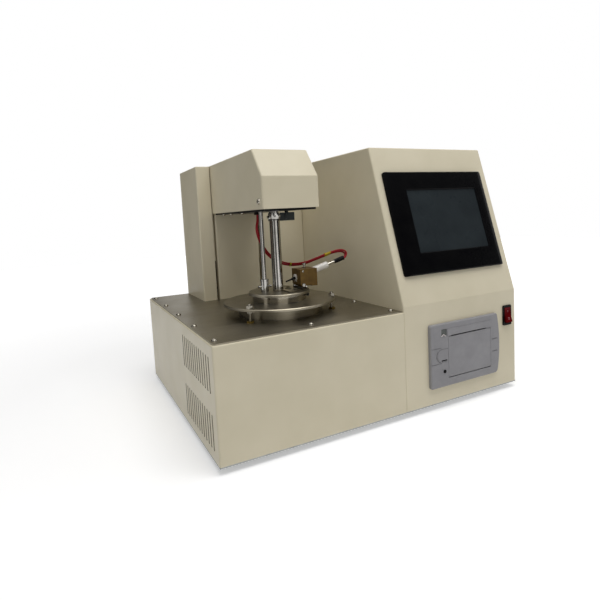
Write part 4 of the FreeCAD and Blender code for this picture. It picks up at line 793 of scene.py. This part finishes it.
def sleeveRows():
    # shrunk sleeve: r(a, t) = R (0.9 + 0.1 min(1, 4 t)) - 0.12 + 0.1 sin(3 a + 5 t) + 0.06 sin(7 a - 9 t),
    # with a pinched start and an open end
    full, length = igniter["sleeveRadius"], igniter["sleeveLength"]

    def wrinkled(t):
        swell = full * (0.9 + 0.1 * min(1, t * 4)) - 0.12
        return lambda a: swell + 0.1 * np.sin(3 * a + 5 * t) + 0.06 * np.sin(7 * a - 9 * t)

    rows = [(0, 0.2), (1.5, 0.1), (2.5, 0)]
    rows += [(wrinkled(t), length * t) for t in np.linspace(0.05, 0.97, 18)]
    return rows + [(full, length), (2.7, length - 0.1), (2.2, length - 0.8), (0, length - 0.9)]


sleeveStart = terminalStart + igniter["terminalLength"]
sleeve = meshPiece("heatShrinkSleeve", [alongIgniter(sleeveRows(), sleeveStart, 40)])
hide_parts("terminal_sleeve")
finishPiece(sleeve, heatShrink, "igniter")
print("igniter dressed")


# screws

# Each kind of screw has its head's radius and height. The cross is that of the deck's screws, its walls
# fall over a short run at its sides and ends, and it shrinks or grows with the head.
screwHeads = {
    "deck": (3.4, 2.3),
    "head": (3.6, 2.5),
    "rear": (2.3, 1.4),
    "underPlate": (2.6, 1.9),
    "block": (1.7, 1.0),
    "skirt": (2.1, 1.1),
}
screw = {
    "domePower": 2.6,
    "crossDepth": 0.9,
    "crossWidth": 0.42,
    "crossReach": 1.5,
    "sideRun": 0.25,
    "endRun": 0.4,
    "rings": 13,
    "steps": 32,
}


def panHead(kind, crossTurn=0):
    # z(r, a) = h (1 - (r / R)^p)^0.5, with p the dome's power, less a cross-shaped recess, on rings of r
    # and steps of a
    radius, height = screwHeads[kind]
    rings = np.concatenate(([0], np.linspace(0.08, 1, screw["rings"]))) * radius
    angle = np.arange(screw["steps"]) * 2 * math.pi / screw["steps"]
    r, a = np.meshgrid(rings, angle, indexing="ij")
    dome = height * np.sqrt(np.clip(1 - (r / radius) ** screw["domePower"], 0, 1))
    x = r * np.cos(a + crossTurn)
    y = r * np.sin(a + crossTurn)
    scale = radius / screwHeads["deck"][0]
    narrow = np.minimum(np.abs(x), np.abs(y))
    far = np.maximum(np.abs(x), np.abs(y))
    inside = np.clip((screw["crossWidth"] * scale - narrow) / (screw["sideRun"] * scale), 0, 1)
    inside = inside * np.clip((screw["crossReach"] * scale - far) / (screw["endRun"] * scale), 0, 1)
    z = dome - screw["crossDepth"] * scale * inside
    return np.stack((r * np.cos(a), r * np.sin(a), z), -1) / 1000


def screwSet(name, kind, places, facing, body):
    # screws of one kind that face one way, each with its cross turned by 1.1 radians from the last
    sheets = [(aimed(panHead(kind, k * 1.1), spot(*place), facing), True) for k, place in enumerate(places)]
    finishPiece(meshPiece(name, sheets, 50), screwSteel, body)


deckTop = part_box("deck_plate")[1].z * 1000
deckScrewPlaces = [(8, y, deckTop) for y in (16.5, 99.5, 183, 266.5, 350)]
deckScrewPlaces += [(126, 16, deckTop)] + [(244, y, deckTop) for y in (16, 99.5, 183)]
screwSet("deckScrews", "deck", deckScrewPlaces, (0, 0, 1), "base")
screwSet("headScrewLeft", "head", [(90.6, 69.2, 290.5)], (-1, 0, 0), "head")
screwSet("headScrewRight", "head", [(169.2, 69.2, 290.5)], (1, 0, 0), "head")
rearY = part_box("rear_panel")[1].y * 1000 - cornerY * 1000
rearPlaces = [(x, rearY, z) for x in (260, 452) for z in (16, 180, 344)]
screwSet("rearPanelScrews", "rear", rearPlaces, (0, 1, 0), "base")
underPlaces = [(97.4, y, 278.5) for y in (146, 192, 226)]
screwSet("underPlateScrews", "underPlate", underPlaces, (0, 0, -1), "head")
screwSet("blockFrontScrew", "block", [igniter["frontScrewAt"]], (0, -1, 0), "igniter")


# screws that look outwards from the bath's axis, at a radius and a height, at angles from the x axis
skirtScrews = {"radius": 56.2, "height": 149.8, "angles": (168, -33, 68)}
knob = {"radius": 36.6, "height": 166.1, "angles": (-42,)}


def outwards(angle):
    return np.array((math.cos(math.radians(angle)), math.sin(math.radians(angle)), 0))


def ringPlaces(ring):
    # each place on the ring in millimetres, with the way that it faces
    level = np.array((0, 0, ring["height"]))
    return [(bathAxis + outwards(angle) * ring["radius"] + level, outwards(angle))
            for angle in ring["angles"]]


skirtSheets = [(aimed(panHead("skirt"), spot(*place), ray), True) for place, ray in ringPlaces(skirtScrews)]
finishPiece(meshPiece("skirtScrews", skirtSheets, 50), blackScrew, "base")
knobRows = [(0, -0.5), (1.3, -0.5), (1.3, 1.6), (2.0, 1.7), (2.1, 2.2), (2.1, 4.6), (1.8, 5.0), (0, 5.1)]
knobSheets = [(aimed(ringStack(knobRows, 24), spot(*place), ray), True) for place, ray in ringPlaces(knob)]
finishPiece(meshPiece("ringKnob", knobSheets, 50), blackScrew, "head")

clampRows = [(0, 0), (1.75, 0), (1.75, 3.2), (2.3, 3.4), (2.4, 3.8), (2.4, 6.1), (2.1, 6.5), (1.2, 6.6),
             (1.2, 6.2), (0, 6.2)]
clampPlace = spot(*igniter["clampScrewAt"])
finishPiece(meshPiece("clampScrew", [(clampPlace + ringStack(clampRows, 28), True)], 50),
            screwSteel, "igniter")
print("screws in")


# clamp rings on the tube and on the post, under the head

clamp = {
    "radius": 7.35,
    "top": 276.5,
    "height": 11.0,
    "bore": 6.6,
    "screwRadius": 1.6,
    "screwRise": 1.2,
}


def clampRing(name, axis, body, screwAngles):
    # turned ring with chamfered edges and a shallow groove, r(z), and cap screws looking out of it
    high, low = clamp["top"], clamp["top"] - clamp["height"]
    outer, bore, middle = clamp["radius"], clamp["bore"], clamp["top"] - clamp["height"] / 2
    rows = [(bore, low), (outer - 0.7, low), (outer, low + 0.7), (outer, middle - 3.4),
            (outer - 0.25, middle - 3.1), (outer - 0.25, middle - 2.7), (outer, middle - 2.4),
            (outer, high - 0.7), (outer - 0.7, high), (bore, high), (bore, low)]
    sheets = [(spot(*axis) + ringStack(rows, 48), True)]
    size = clamp["screwRadius"]
    head = [(0, -0.2), (size, -0.2), (size, 1.3), (size - 0.3, 1.6), (size * 0.55, 1.6),
            (size * 0.5, 0.9), (0, 0.9)]
    for angle in screwAngles:
        level = np.array((0, 0, middle + clamp["screwRise"]))
        place = spot(*(axis + level + outwards(angle) * (outer - 0.1)))
        sheets.append((aimed(ringStack(head, 20), place, outwards(angle)), True))
    finishPiece(meshPiece(name, sheets, 40), chrome, body)


clampRing("tubeClamp", bathAxis, "shutter", (-118, -66))
clampRing("postClamp", postAxis, "head", ())
print("clamp rings under the head")


# louvres

louvre = {
    "count": 13,
    "pitch": 9.6,
    "width": 3.4,
    "firstY": 17.0,
    "lows": (21.0, 85.5),
    "length": 41.0,
    "inward": 3.4,
    "thick": 0.8,
}


def louvreBlades():
    # A blade joins the slot's rear edge and leans inwards to the front: its section is a thin slanted
    # bar, p(z) = section + z, with the sheet's thickness
    half = louvre["width"] / 2
    depth = louvre["inward"]
    section = np.array((
        (0.25, half + 0.6, 0), (0.25 + louvre["thick"], half + 0.9, 0), (depth + 0.6, -half - 0.2, 0),
        (depth, -half - 0.8, 0), (1.4, half - 1.2, 0), (0.5, half - 0.1, 0),
    )) / 1000
    sheets = []
    for low in louvre["lows"]:
        for k in range(louvre["count"]):
            y = louvre["firstY"] + k * louvre["pitch"]
            path = spots([(0, y, low - 0.5), (0, y, low + louvre["length"] + 0.5)])
            sheets.append(sweptBar(section, path))
    return meshPiece("louvreBlades", sheets, 30)


# the blades in the cream paint's darker copy, which is painted shade
finishPiece(louvreBlades(), bladePaint, "base")
print("louvres in")


# printer front and switch marks

printer = {
    "face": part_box("printer_frame")[0].y * 1000 - cornerY * 1000,
    "lampAt": (314.6, 53.2),
    "lampRadius": 2.3,
    "latchAt": (309.5, 75.0),
    "ringRadius": 7.2,
    "ringThick": 0.45,
    "ringSweep": (105, 262),
    "dashAt": (314.2, 68.4),
    "dashSize": (9.6, 0.7, 1.5),
    "arrow": ((309.6, 101.4), (313.2, 104.0), (316.8, 101.4)),
    "arrowHalf": 0.42,
}


def strokeBar(path, half, face, deep=0.3, sunk=0.5):
    # A line drawn on an upright front: p(i, j) = path_i + the corners of a small ridged bar, mitred at
    # each bend. It stands out from the face by deep, with shoulders at 0.6 of that, and goes into it by sunk.
    route = np.array(path, dtype=float)
    ahead = np.gradient(route, axis=0)
    ahead /= np.linalg.norm(ahead, axis=1)[:, None]
    aside = np.stack((-ahead[:, 1], ahead[:, 0]), -1) * half
    inner, outer = route - aside, route + aside
    shoulder = face - deep * 0.6
    corners = ((inner, face + sunk), (inner, shoulder), (route, face - deep), (outer, shoulder),
               (outer, face + sunk))
    grid = np.stack([np.insert(side, 1, y, axis=1) for side, y in corners], axis=1)
    grid = spots(grid.reshape(-1, 3)).reshape(grid.shape)
    first = np.repeat(grid[:1].mean(1, keepdims=True), 5, axis=1)
    last = np.repeat(grid[-1:].mean(1, keepdims=True), 5, axis=1)
    return np.concatenate((first, grid, last)), True


lampRows = [(0, 0.55), (0.9, 0.5), (1.5, 0.35), (1.8, 0.1), (2.0, 0.1), (2.15, 0.3),
            (printer["lampRadius"], 0.1), (printer["lampRadius"], -0.6), (0, -0.6)]
lampPlace = spot(printer["lampAt"][0], printer["face"], printer["lampAt"][1])
finishPiece(meshPiece("readyLamp", [(aimed(ringStack(lampRows, 32), lampPlace, (0, -1, 0)), True)], 50),
            blackPlastic, "base")
arrow = [strokeBar(printer["arrow"], printer["arrowHalf"], printer["face"])]
finishPiece(meshPiece("feedArrow", arrow, 50), markWhite, "base")
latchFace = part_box("printer_latch")[0].y * 1000 - cornerY * 1000
sweep = np.radians(np.linspace(*printer["ringSweep"], 24))
ringPath = np.stack((printer["latchAt"][0] + printer["ringRadius"] * np.cos(sweep),
                     printer["latchAt"][1] + printer["ringRadius"] * np.sin(sweep)), -1)
finishPiece(meshPiece("latchRing", [strokeBar(ringPath, printer["ringThick"], latchFace, 0.5)], 50),
            greyPlastic, "door_latch")
# painted shade: a black bar where the latch shows a dark shaded slot
dashPlace = spot(printer["dashAt"][0], latchFace - 0.05, printer["dashAt"][1])
finishPiece(meshPiece("latchPull", [softBlock(printer["dashSize"], dashPlace)], 50),
            blackPlastic, "door_latch")

# the generic on and off marks: each has its place and the way that its half of the rocker faces
switchMarks = {
    "on": ((441.65, -2.70, 117.3), (0, -1, 0.044)),
    "off": ((441.65, -4.56, 106.75), (0, -0.954, 0.3)),
    "bar": (0.6, 2.8, 0.32),
    "ring": (1.3, 1.75),
    "proud": 0.06,
    "sunk": 0.1,
}
inner, outer = switchMarks["ring"]
proud, sunk = switchMarks["proud"], -switchMarks["sunk"]
offRows = [(inner, sunk), (outer, sunk), (outer, proud), (inner, proud), (inner, sunk)]
offMark = (aimed(ringStack(offRows, 32), spot(*switchMarks["off"][0]), switchMarks["off"][1]), True)
bar = softBlock(switchMarks["bar"], (0, 0, 0), 0.2)[0]
onMark = (aimed(bar, spot(*switchMarks["on"][0]), switchMarks["on"][1]), True)
finishPiece(meshPiece("switchMarks", [onMark, offMark], 50), markPink, "rocker")
print("printer and switch dressed")

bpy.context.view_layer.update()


# floor

floor = {"half": 3.0, "colour": "#F4F4F4", "lift": 0.34, "farLift": 0.85, "nearEnd": 0.5, "farEnd": 1.8}
ground = bpy.data.meshes.new("floor")
edge = floor["half"]
groundCorners = [(-edge, -edge, 0), (edge, -edge, 0), (edge, edge, 0), (-edge, edge, 0)]
ground.from_pydata(groundCorners, [], [(0, 1, 2, 3)])
floorObject = bpy.data.objects.new("floor", ground)
bpy.context.collection.objects.link(floorObject)
floorPaint, floorTree, floorShader = newMaterial("floorPaper", floor["colour"], 0, 0.8)
# White paper: what the lamps leave short of white is added for the eye and for reflections, so that the
# paper meets the white room without a line and still takes the shadow.
fromMiddle = addNode(floorTree, "ShaderNodeVectorMath", {"operation": "LENGTH"},
                     {0: objectPlace(floorTree)}).outputs["Value"]
lift = spread(floorTree, fromMiddle, floor["lift"], floor["farLift"], floor["nearEnd"], floor["farEnd"])
raised = addNode(floorTree, "ShaderNodeMath", {"operation": "MULTIPLY"}, {0: seenRays(floorTree), 1: lift})
glow = addNode(floorTree, "ShaderNodeEmission", {"Color": (1, 1, 1, 1)}, {"Strength": raised.outputs[0]})
paperSum = addNode(floorTree, "ShaderNodeAddShader", None, {0: floorShader.outputs[0], 1: glow.outputs[0]})
floorTree.links.new(paperSum.outputs[0], floorTree.nodes["Material Output"].inputs["Surface"])
floorObject.data.materials.append(floorPaint)
print("floor down")
